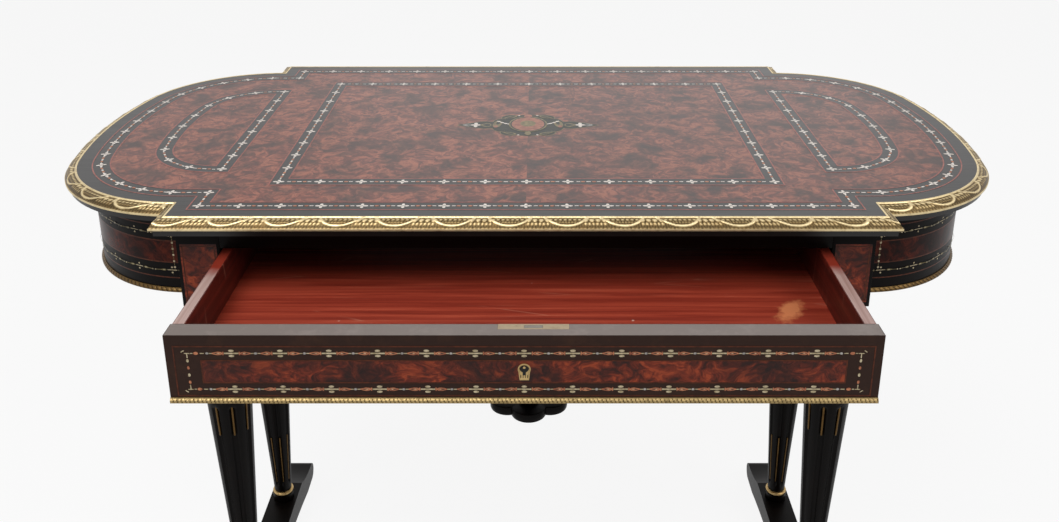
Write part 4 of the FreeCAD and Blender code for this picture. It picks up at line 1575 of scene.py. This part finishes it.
@dataclass
class Case:
    """Case under the top: corner blocks, D-shaped end friezes, back frieze and the rails."""

    top: Top
    frieze_inset: float = 17.0
    block_inner: float = 349.0
    block_side: float = 399.0
    block_face: float = 287.0
    block_return: float = 250.0
    base: float = 641.0
    high: float = 739.5
    burr_low: float = 674.0
    burr_high: float = 702.0
    string_levels: tuple[float, ...] = (654.0, 674.0, 702.0, 722.0)
    string_width: float = 1.5
    chain_levels: Pair = (664.0, 712.0)
    bead_row: float = 19.0
    bead_row_z: float = 688.0
    bead_pitch: float = 8.0
    panel_low: float = 642.0
    panel_high: float = 716.0
    panel_margin: float = 4.0
    panel_string_inset: float = 2.6
    panel_string_half: float = 0.7

    def end_line(self) -> Run:
        """Face of the right end's frieze, between the two blocks, front to back."""
        sizes = (self.top.end_reach, self.top.end_half_depth, self.top.corner_r, self.top.bow_r)
        return end_run(*(size - self.frieze_inset for size in sizes), self.block_side, 0.0)

    def back_line(self) -> Run:
        """Face of the back frieze, between the blocks."""
        return line((self.block_inner, self.block_face), (-self.block_inner, self.block_face))

    def build_bands(self, name: str, run: Run, step: float) -> None:
        """Lay burr between strings on black along a frieze, and let its chains in.

        Args:
            name: Name of the frieze.
            run: Its face in plan.
            step: Length of one face.
        """
        surface = Surface()
        half = self.string_width / 2.0
        strings = [(LEVELS.thread, z - half, z + half, 2) for z in self.string_levels]
        panels = [(LEVELS.band, self.base, self.high, 0), (LEVELS.panel, self.burr_low, self.burr_high, 1)]
        for out, low, high, slot in panels + strings:
            surface.band(run, (out, low), (out, high), slot, step)
        shade(surface.bm)
        # The friezes' burr is darkened with painted shade for the top's overhang.
        surface.finish(name + "_bands", ["case_ebonised", "frieze_burr_painted_shade", "dark_red_string"], TABLE, "burr")
        inlay = Inlay()
        chain = Chain(inlay)
        count = steps(run.length, chain.pitch)
        for z in self.chain_levels:
            for i in range(count):
                chain.fine(run.frame((i + 0.5) / count, LEVELS.upper, z, True))
        for share in (self.bead_row / run.length, 1.0 - self.bead_row / run.length):
            inlay.start(run.frame(share, LEVELS.upper, self.bead_row_z, True))
            for i in range(6):
                inlay.oval(0.0, -20.0 + self.bead_pitch * i, 1.3, 1.5, Tone.IVORY)
                inlay.bar(0.0, -24.0 + self.bead_pitch * i, 0.4, 1.4, Tone.BRASS)
        inlay.finish(name + "_chain", TABLE)

    def build_block(self, name: str, x_side: float, y_side: float) -> None:
        """Build one corner block with its burr panels and their strings.

        Args:
            name: Name of its node.
            x_side: 1 for the right and -1 for the left.
            y_side: 1 for the back and -1 for the front.
        """
        eased_node(name, "case_ebonised", TABLE, "ebonised", 0.7)
        surface = Surface()
        inset, thin = self.panel_string_inset, self.panel_string_half
        low, high = self.panel_low + inset, self.panel_high - inset
        burr, string = LEVELS.band, LEVELS.string
        inner, side, face, back = self.block_inner, self.block_side, self.block_face, self.block_return
        if x_side * y_side < 0.0:
            faces = line((inner, -face), (side, -face)), line((side, -face), (side, -back))
        else:
            faces = line((side, face), (inner, face)), line((side, back), (side, face))
        for right in faces:
            run = right if x_side > 0.0 else right.turned()
            panel = part_of(run, self.panel_margin, run.length - self.panel_margin)
            surface.band(panel, (burr, self.panel_low), (burr, self.panel_high), 0, 50.0)
            for z in (low, high):
                surface.band(panel, (string, z - thin), (string, z + thin), 1, 50.0)
            for s in (inset, panel.length - inset):
                surface.band(part_of(panel, s - thin, s + thin), (string, low), (string, high), 1, 5.0)
        surface.finish(name + "_panels", ["side_burr", "dark_red_string"], TABLE, "burr")

    def build(self) -> None:
        """Dress the case."""
        dress("case_ebonised", "left_end_frieze", "right_end_frieze", "front_top_rail", ease_mm=0.5)
        dress("stained_softwood", "left_end_bottom", "right_end_bottom", ease_mm=0.5)
        dress("stained_softwood", "drawer_kickers", "drawer_stops", "back_frieze")
        dress("dull_steel", "top_screws")
        eased_node("front_bottom_rail", "ebonised", TABLE, "ebonised", 0.6)
        for name in ("left_side_rail", "right_side_rail", "left_drawer_runner", "right_drawer_runner"):
            eased_node(name, "mahogany_painted_shade", TABLE, "mahogany", 0.6)
        for end, y_side in (("front", -1.0), ("back", 1.0)):
            for side, x_side in (("left", -1.0), ("right", 1.0)):
                self.build_block(f"{end}_{side}_block", x_side, y_side)
        right = self.end_line()
        friezes = (("right", right, 5.0), ("left", right.turned(), 5.0), ("back", self.back_line(), 60.0))
        for name, run, step in friezes:
            self.build_bands(name + "_frieze", run, step)
        moulding = BaseMoulding("gilt_relief_tarnished")
        for name, run, _ in friezes:
            moulding.build(name + "_base", run, TABLE)


def part_of(run: Run, start: float, end: float) -> Run:
    """Straight part of a run between two distances along it."""
    return line(run.at(start)[:2], run.at(end)[:2])


# The drawer


@dataclass
class Drawer:
    """Frieze drawer: black front with burr panel and chains, red mahogany inside."""

    face_y: float = -476.0
    half_length: float = 348.3
    high: float = 710.0
    thickness: float = 22.0
    band_low: float = 643.0
    band_high: float = 698.0
    band_half: float = 340.0
    panel_low: float = 657.7
    panel_high: float = 682.5
    panel_half: float = 314.0
    string_width: float = 1.4
    chain_levels: Pair = (650.4, 690.6)
    links: int = 13
    pitch: float = 47.3
    chain_close: float = 34.5
    bead_row: float = 13.0
    bead_row_z: float = 670.4
    flute_pitch: float = 4.1
    keyhole_z: float = 673.0
    head_r: float = 6.3
    foot_half: float = 5.6
    tops_lift: float = 0.08
    tops_margin: float = 0.7
    lock_gap: Pair = (-26.2, 44.2)
    lock_depth: float = 10.2
    side_top: Pair = (334.9, 345.7)
    side_back: float = 22.6
    plate_rings: tuple[Pair, ...] = (
        (1.0, -0.3), (1.0, 0.75), (0.94, 1.0), (0.84, 1.0), (0.76, 0.4), (0.3, 0.35),
    )

    def across(self, start: float, end: float) -> Run:
        """Line along the front's face between two places."""
        return line((start, self.face_y), (end, self.face_y))

    def on_face(self, x: float, out: float, z: float) -> Matrix:
        """Frame on the front's face: X along it, Y up, Z towards the viewer."""
        return frame_at(Vector((1.0, 0.0, 0.0)), Vector((0.0, 0.0, 1.0)), Vector((x, self.face_y - out, z)))

    def frame_lines(self, surface: Surface, half: float, low: float, high: float) -> None:
        """Lay a rectangle of string on the face.

        Args:
            surface: Surface to add to.
            half: Half of its length.
            low: Its lower edge.
            high: Its upper edge.
        """
        thin = self.string_width / 2.0
        out = LEVELS.string
        for z in (low, high):
            surface.band(self.across(-half - thin, half + thin), (out, z - thin), (out, z + thin), 1, 80.0)
        for x in (-half, half):
            surface.band(self.across(x - thin, x + thin), (out, low + thin), (out, high - thin), 1, 80.0)

    def build_face(self) -> None:
        """Dress the front with its panel, strings and chains."""
        surface = Surface()
        panel = self.across(-self.panel_half, self.panel_half)
        surface.band(panel, (LEVELS.band, self.panel_low), (LEVELS.band, self.panel_high), 0, 60.0)
        self.frame_lines(surface, self.panel_half, self.panel_low, self.panel_high)
        self.frame_lines(surface, self.band_half, self.band_low, self.band_high)
        surface.finish("drawer_face_bands", ["side_burr", "dark_red_string"], DRAWER, "burr")
        put = Inlay()
        chain = Chain(put, self.pitch)
        half = self.pitch * (self.links - 1) / 2.0
        for z in self.chain_levels:
            for i in range(self.links):
                chain.leafy(self.on_face(i * self.pitch - half, LEVELS.bit, z))
            for side in SIDES:
                put.start(self.on_face(side * (half + self.chain_close), LEVELS.bit, z))
                put.oval(0.0, 0.0, 2.4, 1.7, Tone.COPPER)
                put.bar(side * 4.2, 0.0, 1.2, 0.5, Tone.IVORY)
                put.oval(side * -10.9, 0.0, 1.5, 1.3, Tone.SHELL)
                put.bar(side * -6.0, 0.0, 2.0, 0.5, Tone.IVORY)
        for side in SIDES:
            put.start(self.on_face(side * (self.band_half - self.bead_row), LEVELS.bit, self.bead_row_z))
            for i in range(4):
                put.oval(0.0, -12.0 + 8.0 * i, 1.3, 1.9, Tone.COPPER if i % 2 == 0 else Tone.IVORY)
            for way in SIDES:
                put.bar(0.0, way * 17.4, 0.5, 2.4, Tone.IVORY)
                put.bar(0.0, way * 20.2, 2.6, 0.5, Tone.IVORY)
                put.bar(side * 4.0, way * 22.4, 1.8, 0.5, Tone.IVORY, -side * way * 0.6)
        put.finish("drawer_face_chain", DRAWER)

    def build_escutcheon(self) -> None:
        """Build the keyhole plate: a round head on a flared foot, with a raised brass rim."""
        surface = Surface()
        face = self.on_face(0.0, 0.0, self.keyhole_z)
        last = len(self.plate_rings) - 1

        def outline(share: float) -> Pair:
            """Point of the plate's outline at a share of its way round.

            Args:
                share: Share of the way round.

            Returns:
                The point.
            """
            angle = share * math.tau - QUARTER
            x, z = math.cos(angle), math.sin(angle)
            if z > -0.5:
                return self.head_r * x, self.head_r * z
            return self.foot_half * x / 0.87, -self.head_r / 2.0 - 9.0 * min(1.0, (-0.5 - z) / 0.2)

        def place(along: float, across: float) -> Vector:
            """Point on one of the rings from the outer edge to the middle.

            Args:
                along: Share of the way round.
                across: Share of the way in.

            Returns:
                The point.
            """
            scale, level = self.plate_rings[round(across * last)]
            u, v = outline(along)
            return face @ Vector((u * scale, (v + 2.0) * scale - 2.0, level))

        surface.lay(56, last, place)
        surface.close(40.0)
        surface.finish("escutcheon_plate", ["gilt_brass"], DRAWER, "gilt", "escutcheon")
        # The keyhole is painted shade: flat dark bits for the hole and the grooves between the foot's ribs.
        hole = Inlay(Matrix.Translation((0.0, -0.42, 0.0)) @ face, sides=24)
        hole.oval(0.0, 0.9, 4.6, 4.6, Tone.HOLE)
        hole.bar(0.0, -4.4, 1.6, 2.4, Tone.HOLE)
        for i in range(4):
            hole.bar(-3.3 + 2.2 * i, -8.4, 0.35, 1.8, Tone.HOLE)
        hole.place = Matrix.Translation((0.0, -0.06, 0.0)) @ hole.place
        hole.oval(0.0, 1.8, 1.3, 1.3, Tone.GILT)
        hole.finish("keyhole_shade", DRAWER, "ebonised")

    def build_tops_wear_and_sheen(self) -> None:
        """Lay the upper edges of the front and the sides: grey painted sheen with rubbed patches on the
        front, and pale painted sheen on the sides that fades into painted shade under the top.
        """
        surface = Surface()
        z = self.high + self.tops_lift
        front, back = self.face_y + self.tops_margin, self.face_y + self.thickness
        end = self.half_length - self.tops_margin
        left, right = self.lock_gap
        inner, outer = self.side_top
        # The front's upper edge gets painted sheen with rubbed patches; the sides' upper edges get painted
        # sheen and painted shade.
        for x0, x1, y0, y1, slot in (
            (-end, left, front, back - 0.5, 0),
            (right, end, front, back - 0.5, 0),
            (left, right, front, back - self.lock_depth, 0),
            (-outer, -inner, back + 0.2, self.side_back, 1),
            (inner, outer, back + 0.2, self.side_back, 1),
        ):
            surface.band(line((x0, y0), (x1, y0)), (0.0, z), (y0 - y1, z), slot, x1 - x0)
        surface.finish("drawer_tops_wear_and_painted_sheen", ["worn_black_painted_sheen", "painted_sheen_edge"], DRAWER, "ebonised")

    def build(self) -> None:
        """Dress the drawer."""
        dress("front_ebonised", "drawer_front", ease_mm=0.6)
        dress("side_burr", "drawer_front_panel")
        for name, finish, ease_mm in (
            # The drawer's sides take mahogany darkened with painted shade.
            ("drawer_left_side", "mahogany_painted_shade", 0.9),
            ("drawer_right_side", "mahogany_painted_shade", 0.9),
            ("drawer_back", "mahogany_along", 0.9),
            ("drawer_bottom", "mahogany_floor", 0.4),
        ):
            eased_node(name, finish, DRAWER, "mahogany", ease_mm)
        self.build_face()
        self.build_tops_wear_and_sheen()
        moulding = BaseMoulding("gilt_relief_worn", flute_pitch=self.flute_pitch)
        moulding.build("drawer_base", self.across(-self.half_length, self.half_length), DRAWER)
        self.build_escutcheon()
        dress("lock_brass", "lock_screws", "lock_case")
        dress("dull_steel", "lock_bolt")


# Columns and what joins them


@dataclass
class Column:
    """Turned column: square cap, vase, drum, gilt ring, fluted shaft with brass rods, and toe."""

    cap_half: float = 33.0
    cap_low: float = 626.0
    cap_high: float = 638.0
    cap_ease: float = 2.0
    vase_low: float = 470.0
    vase_r: float = 31.0
    vase_parts: int = 40
    drum_low: float = 416.0
    drum_r: float = 33.0
    ring_r: Pair = (30.0, 35.0)
    shaft_high: float = 408.0
    shaft_low: float = 70.0
    shaft_high_r: float = 32.0
    shaft_low_r: float = 14.0
    shaft_rows: int = 110
    toe_ring_low: float = 64.0
    toe_ring_r: Pair = (12.0, 17.0)
    toe_low: float = 50.0
    flutes: int = 8
    flute_columns: int = 12
    flute_high_r: float = 4.6
    flute_low_r: float = 2.6
    flute_margin: float = 15.0
    rods: tuple[Pair, Pair] = ((393.0, 344.0), (181.0, 90.0))
    rod_share: float = 0.4
    rod_thickness: tuple[float, ...] = (0.0, 0.55, 0.86, 1.0, 1.0, 1.0, 1.0, 1.0, 0.86, 0.55, 0.0)
    rod_tip: tuple[float, ...] = (0.0, 0.1, 0.4, 1.0)
    vase_profile: tuple[Pair, ...] = (
        (0.0, 0.62), (0.06, 0.60), (0.16, 0.46), (0.36, 0.80), (0.58, 1.0), (0.78, 0.72),
        (0.9, 0.5), (1.0, 0.66),
    )
    ring_profile: tuple[Pair, ...] = (
        (0.0, 0.0), (0.7, 0.0), (0.76, 0.06), (0.7, 0.16), (0.85, 0.24), (1.0, 0.38), (1.0, 0.52),
        (0.9, 0.66), (0.68, 0.76), (0.76, 0.84), (0.76, 0.96), (0.6, 1.0), (0.0, 1.0),
    )

    def vase_radius(self, share: float) -> float:
        """Radius of the vase at a share of its height, by a smooth curve through its points.

        Args:
            share: Share of its height.

        Returns:
            The radius.
        """
        points = self.vase_profile
        last = len(points) - 1
        i = next((i for i in range(last) if share <= points[i + 1][0]), last - 1)
        h0, r0 = points[max(0, i - 1)]
        h1, r1 = points[i]
        h2, r2 = points[i + 1]
        h3, r3 = points[min(last, i + 2)]
        t = (share - h1) / (h2 - h1)
        m1 = (r2 - r0) / (h2 - h0) * (h2 - h1)
        m2 = (r3 - r1) / (h3 - h1) * (h2 - h1)
        t2, t3 = t * t, t * t * t
        shape = (2 * t3 - 3 * t2 + 1) * r1 + (t3 - 2 * t2 + t) * m1
        return self.vase_r * (shape + (3 * t2 - 2 * t3) * r2 + (t3 - t2) * m2)

    def taper(self, z: float, high: float, low: float) -> float:
        """Size at a height that runs evenly from one at the shaft's top to one at its foot."""
        return high + (low - high) * (self.shaft_high - z) / (self.shaft_high - self.shaft_low)

    def shaft_radius(self, z: float) -> float:
        """Radius of the tapering shaft at a height."""
        return self.taper(z, self.shaft_high_r, self.shaft_low_r)

    def flute_radius(self, z: float) -> float:
        """Radius of the round hollow of a flute at a height."""
        return self.taper(z, self.flute_high_r, self.flute_low_r)

    def lay_shaft(self, surface: Surface, x: float, y: float) -> None:
        """Lay the fluted shaft.

        Args:
            surface: Surface to add to.
            x: Place of the axis.
            y: Place of the axis.
        """
        high = self.shaft_high - self.flute_margin
        low = self.shaft_low + self.flute_margin
        pitch = math.tau / self.flutes

        def place(along: float, across: float) -> Vector:
            """Point of the shaft, sunk in the flutes, which run out at both ends.

            Args:
                along: Share of the full turn.
                across: Share of the height.

            Returns:
                The point.
            """
            z = self.shaft_low + (self.shaft_high - self.shaft_low) * across
            radius = self.shaft_radius(z)
            angle = along * math.tau
            hollow = self.flute_radius(z)
            end = min(high - z, z - low)
            if end < hollow:
                reach = hollow**2 - (hollow - end) ** 2 if end > 0.0 else 0.0
                hollow = math.sqrt(max(0.0, reach))
            aside = ((angle / pitch) % 1.0 - 0.5) * pitch * radius
            depth = math.sqrt(hollow**2 - aside**2) if abs(aside) < hollow else 0.0
            r = radius - depth
            turn = angle - QUARTER
            return Vector((x + r * math.cos(turn), y + r * math.sin(turn), z))

        surface.lay(self.flute_columns * self.flutes, self.shaft_rows, place)

    def body_profile(self) -> list[Pair]:
        """Radius and height of the drum and vase, from the ring up to the cap.

        Returns:
            Radius and height pairs.
        """
        r, low, high = self.drum_r, self.drum_low, self.vase_low
        drum = [(r - 3.0, low - 0.2), (r - 0.8, low), (r, low + 0.9), (r, high - 3.0), (r - 1.2, high - 0.8)]
        drum.append((r - 4.0, high))
        shares = [i / self.vase_parts for i in range(self.vase_parts + 1)]
        return drum + [(self.vase_radius(share), high + (self.cap_low - high) * share) for share in shares]

    def ring(self, low: float, high: float, radii: Pair) -> list[Pair]:
        """Radius and height of a gilt ring between two heights and its inner and outer radius."""
        inner, outer = radii
        return [(inner + (outer - inner) * r, low + (high - low) * h) for r, h in self.ring_profile]

    def lay_rod(self, surface: Surface, x: float, y: float, turn: float, high: float, low: float) -> None:
        """Lay one rod with rounded ends along a flute.

        Args:
            surface: Surface to add to.
            x: Place of the column's axis.
            y: Place of the column's axis.
            turn: Angle of the flute about it.
            high: Upper end.
            low: Lower end.
        """
        rows = len(self.rod_thickness) - 1
        tip = len(self.rod_tip) - 1
        out = Vector((math.cos(turn), math.sin(turn), 0.0))
        side = Vector((-math.sin(turn), math.cos(turn), 0.0))
        thick = self.flute_radius((high + low) / 2.0) * self.rod_share

        def place(along: float, across: float) -> Vector:
            """Point on one of the rod's rings, which draw together at its ends.

            Args:
                along: Share of the full turn.
                across: Share of the length.

            Returns:
                The point.
            """
            i = round(across * rows)
            if i <= tip:
                z = low + self.rod_tip[i] * thick
            elif i >= rows - tip:
                z = high - self.rod_tip[rows - i] * thick
            else:
                z = low + thick + (high - low - 2.0 * thick) * (i - tip) / (rows - 2 * tip)
            own = self.flute_radius(z) * self.rod_share
            centre = self.shaft_radius(z) - self.flute_radius(z) + own
            angle = along * math.tau
            local = out * (centre + own * self.rod_thickness[i] * math.cos(angle))
            local += side * (own * self.rod_thickness[i] * math.sin(angle))
            return Vector((x, y, z)) + local

        surface.lay(10, rows, place, 1)

    def build(self, name: str, x: float, y: float) -> None:
        """Build one column and its metal.

        Args:
            name: Name of the column's node.
            x: Place of its axis.
            y: Place of its axis.
        """
        wood = Surface()
        wood.turn(x, y, self.body_profile())
        self.lay_shaft(wood, x, y)
        inner, outer = self.toe_ring_r
        low, high = self.toe_low, self.toe_ring_low
        toe = [(inner, low - 1.0), (outer - 0.6, low), (outer, low + 1.0), (outer, high - 0.5), (inner, high)]
        wood.turn(x, y, toe)
        wood.weld(0.01)
        bmesh.ops.recalc_face_normals(wood.bm, faces=wood.bm.faces)
        cap_low = Vector((x - self.cap_half, y - self.cap_half, self.cap_low))
        cap_high = Vector((x + self.cap_half, y + self.cap_half, self.cap_high))
        eased_box(wood.bm, cap_low, cap_high, self.cap_ease)
        shade(wood.bm, 38.0)
        wood.finish(name + "_turned", ["case_ebonised"], TABLE, "ebonised", name)
        metal = Surface()
        metal.turn(x, y, self.ring(self.shaft_high, self.drum_low, self.ring_r))
        metal.turn(x, y, self.ring(self.toe_ring_low, self.shaft_low, self.toe_ring_r))
        for i in range(self.flutes):
            for rod_high, rod_low in self.rods:
                self.lay_rod(metal, x, y, math.tau / self.flutes * (i + 0.5) - QUARTER, rod_high, rod_low)
        metal.close(50.0)
        # The rods' brass is darkened with painted shade for the flutes they lie in.
        metal.finish(name + "_rings_and_rods", ["gilt_brass", "rod_brass_painted_shade"], TABLE, "gilt", name + "_metal")


@dataclass
class Underframe:
    """Columns, rails, stretcher with its lobed drop, and the cross feet."""

    column_x: float = 422.0
    column_y: float = 105.0
    pole_z: float = 440.0
    pole_r: float = 15.0
    pole_swell_r: float = 21.0
    boss_half: float = 30.0
    rail_half: float = 11.0
    lobe_r: float = 27.0
    lobe_offsets: Pair = (32.0, 19.0)
    plate_low: float = 304.5
    plate_high: float = 318.5
    plate_ease: tuple[Pair, ...] = ((2.5, 0.0), (0.6, 0.7), (0.0, 2.5))
    button_low: float = 297.5
    button_profile: tuple[Pair, ...] = ((0.0, 0.0), (8.0, 0.3), (12.0, 1.6), (14.0, 4.0), (14.0, 7.0))
    neck_high: float = 410.0
    neck_r: float = 20.0
    neck_parts: int = 24
    neck_profile: tuple[Pair, ...] = (
        (0.0, 0.9), (0.12, 0.78), (0.34, 0.42), (0.6, 0.62), (0.8, 1.0), (1.0, 0.7),
    )

    def build_pole(self, name: str) -> None:
        """Build one swelling pole of the stretcher, between the ends of its node.

        Args:
            name: Name of the node.
        """
        low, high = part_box(name)
        x0, x1 = low.x / MM, high.x / MM
        surface = Surface()

        def place(along: float, across: float) -> Vector:
            """Point of the pole.

            Args:
                along: Share of the full turn.
                across: Share of the length.

            Returns:
                The point.
            """
            x = x0 + (x1 - x0) * across
            near = (abs(x) - self.boss_half) / (self.column_x - self.rail_half - self.boss_half)
            t = min(1.0, max(0.0, near))
            r = self.pole_r + (self.pole_swell_r - self.pole_r) * math.sin(math.pi * t)
            angle = -along * math.tau
            return Vector((x, r * math.cos(angle), self.pole_z + r * math.sin(angle)))

        surface.lay(40, 60, place)
        surface.close(50.0, fill=True)
        surface.finish(name + "_turned", ["case_ebonised"], TABLE, "ebonised", name)

    def lobed_radius(self, less: float, angle: float) -> float:
        """Radius of the four-lobed plate in a direction.

        Args:
            less: How far its outline is drawn in.
            angle: The direction.

        Returns:
            The radius.
        """
        lobe = self.lobe_r - less
        reach = 0.0
        for along, offset in zip((abs(math.cos(angle)), abs(math.sin(angle))), self.lobe_offsets):
            aside = offset * math.sqrt(max(0.0, 1.0 - along * along))
            if aside < lobe:
                reach = max(reach, offset * along + math.sqrt(lobe**2 - aside**2))
        return reach

    def build_drop(self) -> None:
        """Build the drop: turned neck, four-lobed plate and button."""
        low, high = self.plate_high, self.neck_high
        profile: list[Ring] = [(r, self.button_low + up) for r, up in self.button_profile]
        profile += [(partial(self.lobed_radius, less), self.plate_low + up) for less, up in self.plate_ease]
        profile += [(partial(self.lobed_radius, less), low - up) for less, up in reversed(self.plate_ease)]
        for i in range(self.neck_parts + 1):
            share = i / self.neck_parts
            radius = self.neck_r * smooth_between(self.neck_profile, share)
            profile.append((radius, low + (high - low) * share))
        surface = Surface()
        surface.turn(0.0, 0.0, profile, 96)
        surface.close(34.0)
        surface.finish("lobed_drop_turned", ["case_ebonised"], TABLE, "ebonised", "lobed_drop")

    def build(self) -> None:
        """Build the underframe."""
        wood = "case_ebonised"
        column = Column()
        for side, x in (("left", -self.column_x), ("right", self.column_x)):
            for end, y in (("front", -self.column_y), ("back", self.column_y)):
                column.build(f"{end}_{side}_column", x, y)
            eased_node(side + "_cross_rail", wood, TABLE, "ebonised", 1.6)
        self.build_pole("left_stretcher_pole")
        self.build_pole("right_stretcher_pole")
        eased_node("stretcher_boss", wood, TABLE, "ebonised", 5.0)
        self.build_drop()
        dress(wood, "left_cross_foot", "right_cross_foot", ease_mm=1.5)
        dress("stained_softwood", "glides")


def smooth_between(points: tuple[Pair, ...], share: float) -> float:
    """Value at a share along smoothly joined points.

    Args:
        points: Share and value pairs, in rising order.
        share: Share from 0 to 1.

    Returns:
        The value.
    """
    for (a, va), (b, vb) in zip(points, points[1:]):
        if share <= b:
            t = (share - a) / (b - a)
            return va + (vb - va) * (t * t * (3.0 - 2.0 * t))
    return points[-1][1]


# Setting


@dataclass(frozen=True)
class Setting:
    """Pale floor, soft studio light and the camera of the photograph."""

    focal_px: float = 1006.58
    centre_px: Pair = (536.6, 120.0)
    pitch_degrees: float = 18.664
    eye: Triple = (0.01206, -1.24835, 1.2168)
    sensor_mm: float = 36.0
    near_m: float = 0.05
    backdrop: str = "#ffffff"
    floor_colour: str = "#f4f4f4"
    floor_roughness: float = 0.9
    floor_half_m: float = 12.0
    floor_glow: float = 0.9
    surroundings: float = 0.15
    key_energy: float = 70.0
    fill_energy: float = 31.0
    rear_energy: float = 6.0

    def add_camera(self) -> None:
        """Place the camera that sees what the photograph sees."""
        width, height = PHOTO_SIZE
        data = bpy.data.cameras.new("camera")
        data.sensor_fit = "HORIZONTAL"
        data.sensor_width = self.sensor_mm
        data.lens = self.focal_px * self.sensor_mm / width
        data.shift_x = -(self.centre_px[0] - width / 2.0) / width
        data.shift_y = (self.centre_px[1] - height / 2.0) / width
        data.clip_start = self.near_m
        camera = bpy.data.objects.new("camera", data)
        camera.location = self.eye
        camera.rotation_euler = (math.radians(90.0 - self.pitch_degrees), 0.0, 0.0)
        bpy.context.scene.collection.objects.link(camera)
        bpy.context.scene.camera = camera

    def seen_rays(self, graph: Graph) -> Node:
        """Node that gives 1 for rays that see the background: straight, mirrored or let through.

        Args:
            graph: Node tree to add to.

        Returns:
            The node.
        """
        rays = graph.add("LightPath").outputs
        mirrored = {0: rays["Is Glossy Ray"], 1: rays["Is Transmission Ray"]}
        straight = {0: rays["Is Camera Ray"], 1: graph.add("Math", mirrored, operation="MAXIMUM")}
        return graph.add("Math", straight, operation="MAXIMUM")

    def add_world(self) -> None:
        """Give the surroundings soft white light and a white backdrop."""
        world = bpy.data.worlds.new("surroundings")
        world.use_nodes = True
        graph = Graph(world.node_tree)
        graph.tree.nodes.clear()
        soft = graph.add("Background", {0: linear("#ffffff"), 1: self.surroundings})
        seen = graph.add("Background", {0: linear(self.backdrop), 1: 1.0})
        mixed = graph.add("MixShader", {0: self.seen_rays(graph), 1: soft, 2: seen})
        graph.add("OutputWorld", {0: mixed})
        bpy.context.scene.world = world

    def add_floor(self) -> Object:
        """Lay the pale floor that keeps the table's shadow.

        Returns:
            The floor.
        """
        material, graph, shader = start_material("floor")
        graph.feed(shader, {"Base Color": linear(self.floor_colour), "Roughness": self.floor_roughness})
        glow = graph.add("Emission", {0: linear(self.backdrop), 1: 1.0})
        seen = graph.add("Math", {0: self.seen_rays(graph), 1: self.floor_glow}, operation="MULTIPLY")
        mixed = graph.add("MixShader", {0: seen, 1: shader, 2: glow})
        out = next(node for node in graph.tree.nodes if node.type == "OUTPUT_MATERIAL")
        graph.feed(out, {"Surface": mixed})
        bm = bmesh.new()
        bmesh.ops.create_grid(bm, x_segments=1, y_segments=1, size=self.floor_half_m)
        mesh = bpy.data.meshes.new("floor")
        bm.to_mesh(mesh)
        bm.free()
        mesh.materials.append(material)
        floor = bpy.data.objects.new("floor", mesh)
        bpy.context.scene.collection.objects.link(floor)
        return floor

    def add_lamp(self, name: str, place: Triple, aim: Triple, size: float, energy: float) -> Object:
        """Hang one soft square lamp.

        Args:
            name: Name of the lamp.
            place: Where it hangs, in metres.
            aim: What it points at.
            size: Length of its side.
            energy: Power in watts.

        Returns:
            The lamp.
        """
        data = bpy.data.lights.new(name, "AREA")
        data.energy = energy
        data.size = size
        lamp = bpy.data.objects.new(name, data)
        lamp.location = place
        lamp.rotation_euler = (Vector(aim) - Vector(place)).to_track_quat("-Z", "Y").to_euler()
        bpy.context.scene.collection.objects.link(lamp)
        return lamp

    def build(self) -> None:
        """Set up view, camera, light and floor."""
        bpy.context.scene.view_settings.view_transform = "Standard"
        self.add_camera()
        self.add_world()
        lamps = (
            self.add_lamp("key", (-0.9, -1.5, 3.4), (0.0, 0.0, 0.6), 1.8, self.key_energy),
            self.add_lamp("fill", (2.2, -1.5, 2.8), (0.0, 0.0, 0.5), 1.8, self.fill_energy),
            self.add_lamp("rear", (0.3, 2.6, 2.4), (0.0, 0.0, 0.7), 2.4, self.rear_energy),
        )
        self.add_floor()


def main() -> None:
    """Build the table's looks, piece by piece, and its setting."""
    logging.basicConfig(level=logging.INFO, format="%(message)s")
    top = Top()
    for part in (top, GiltEdge(top), Case(top), Drawer(), Underframe(), Setting()):
        part.build()
        log.info("%s built", type(part).__name__)


if __name__ == "__main__":
    main()
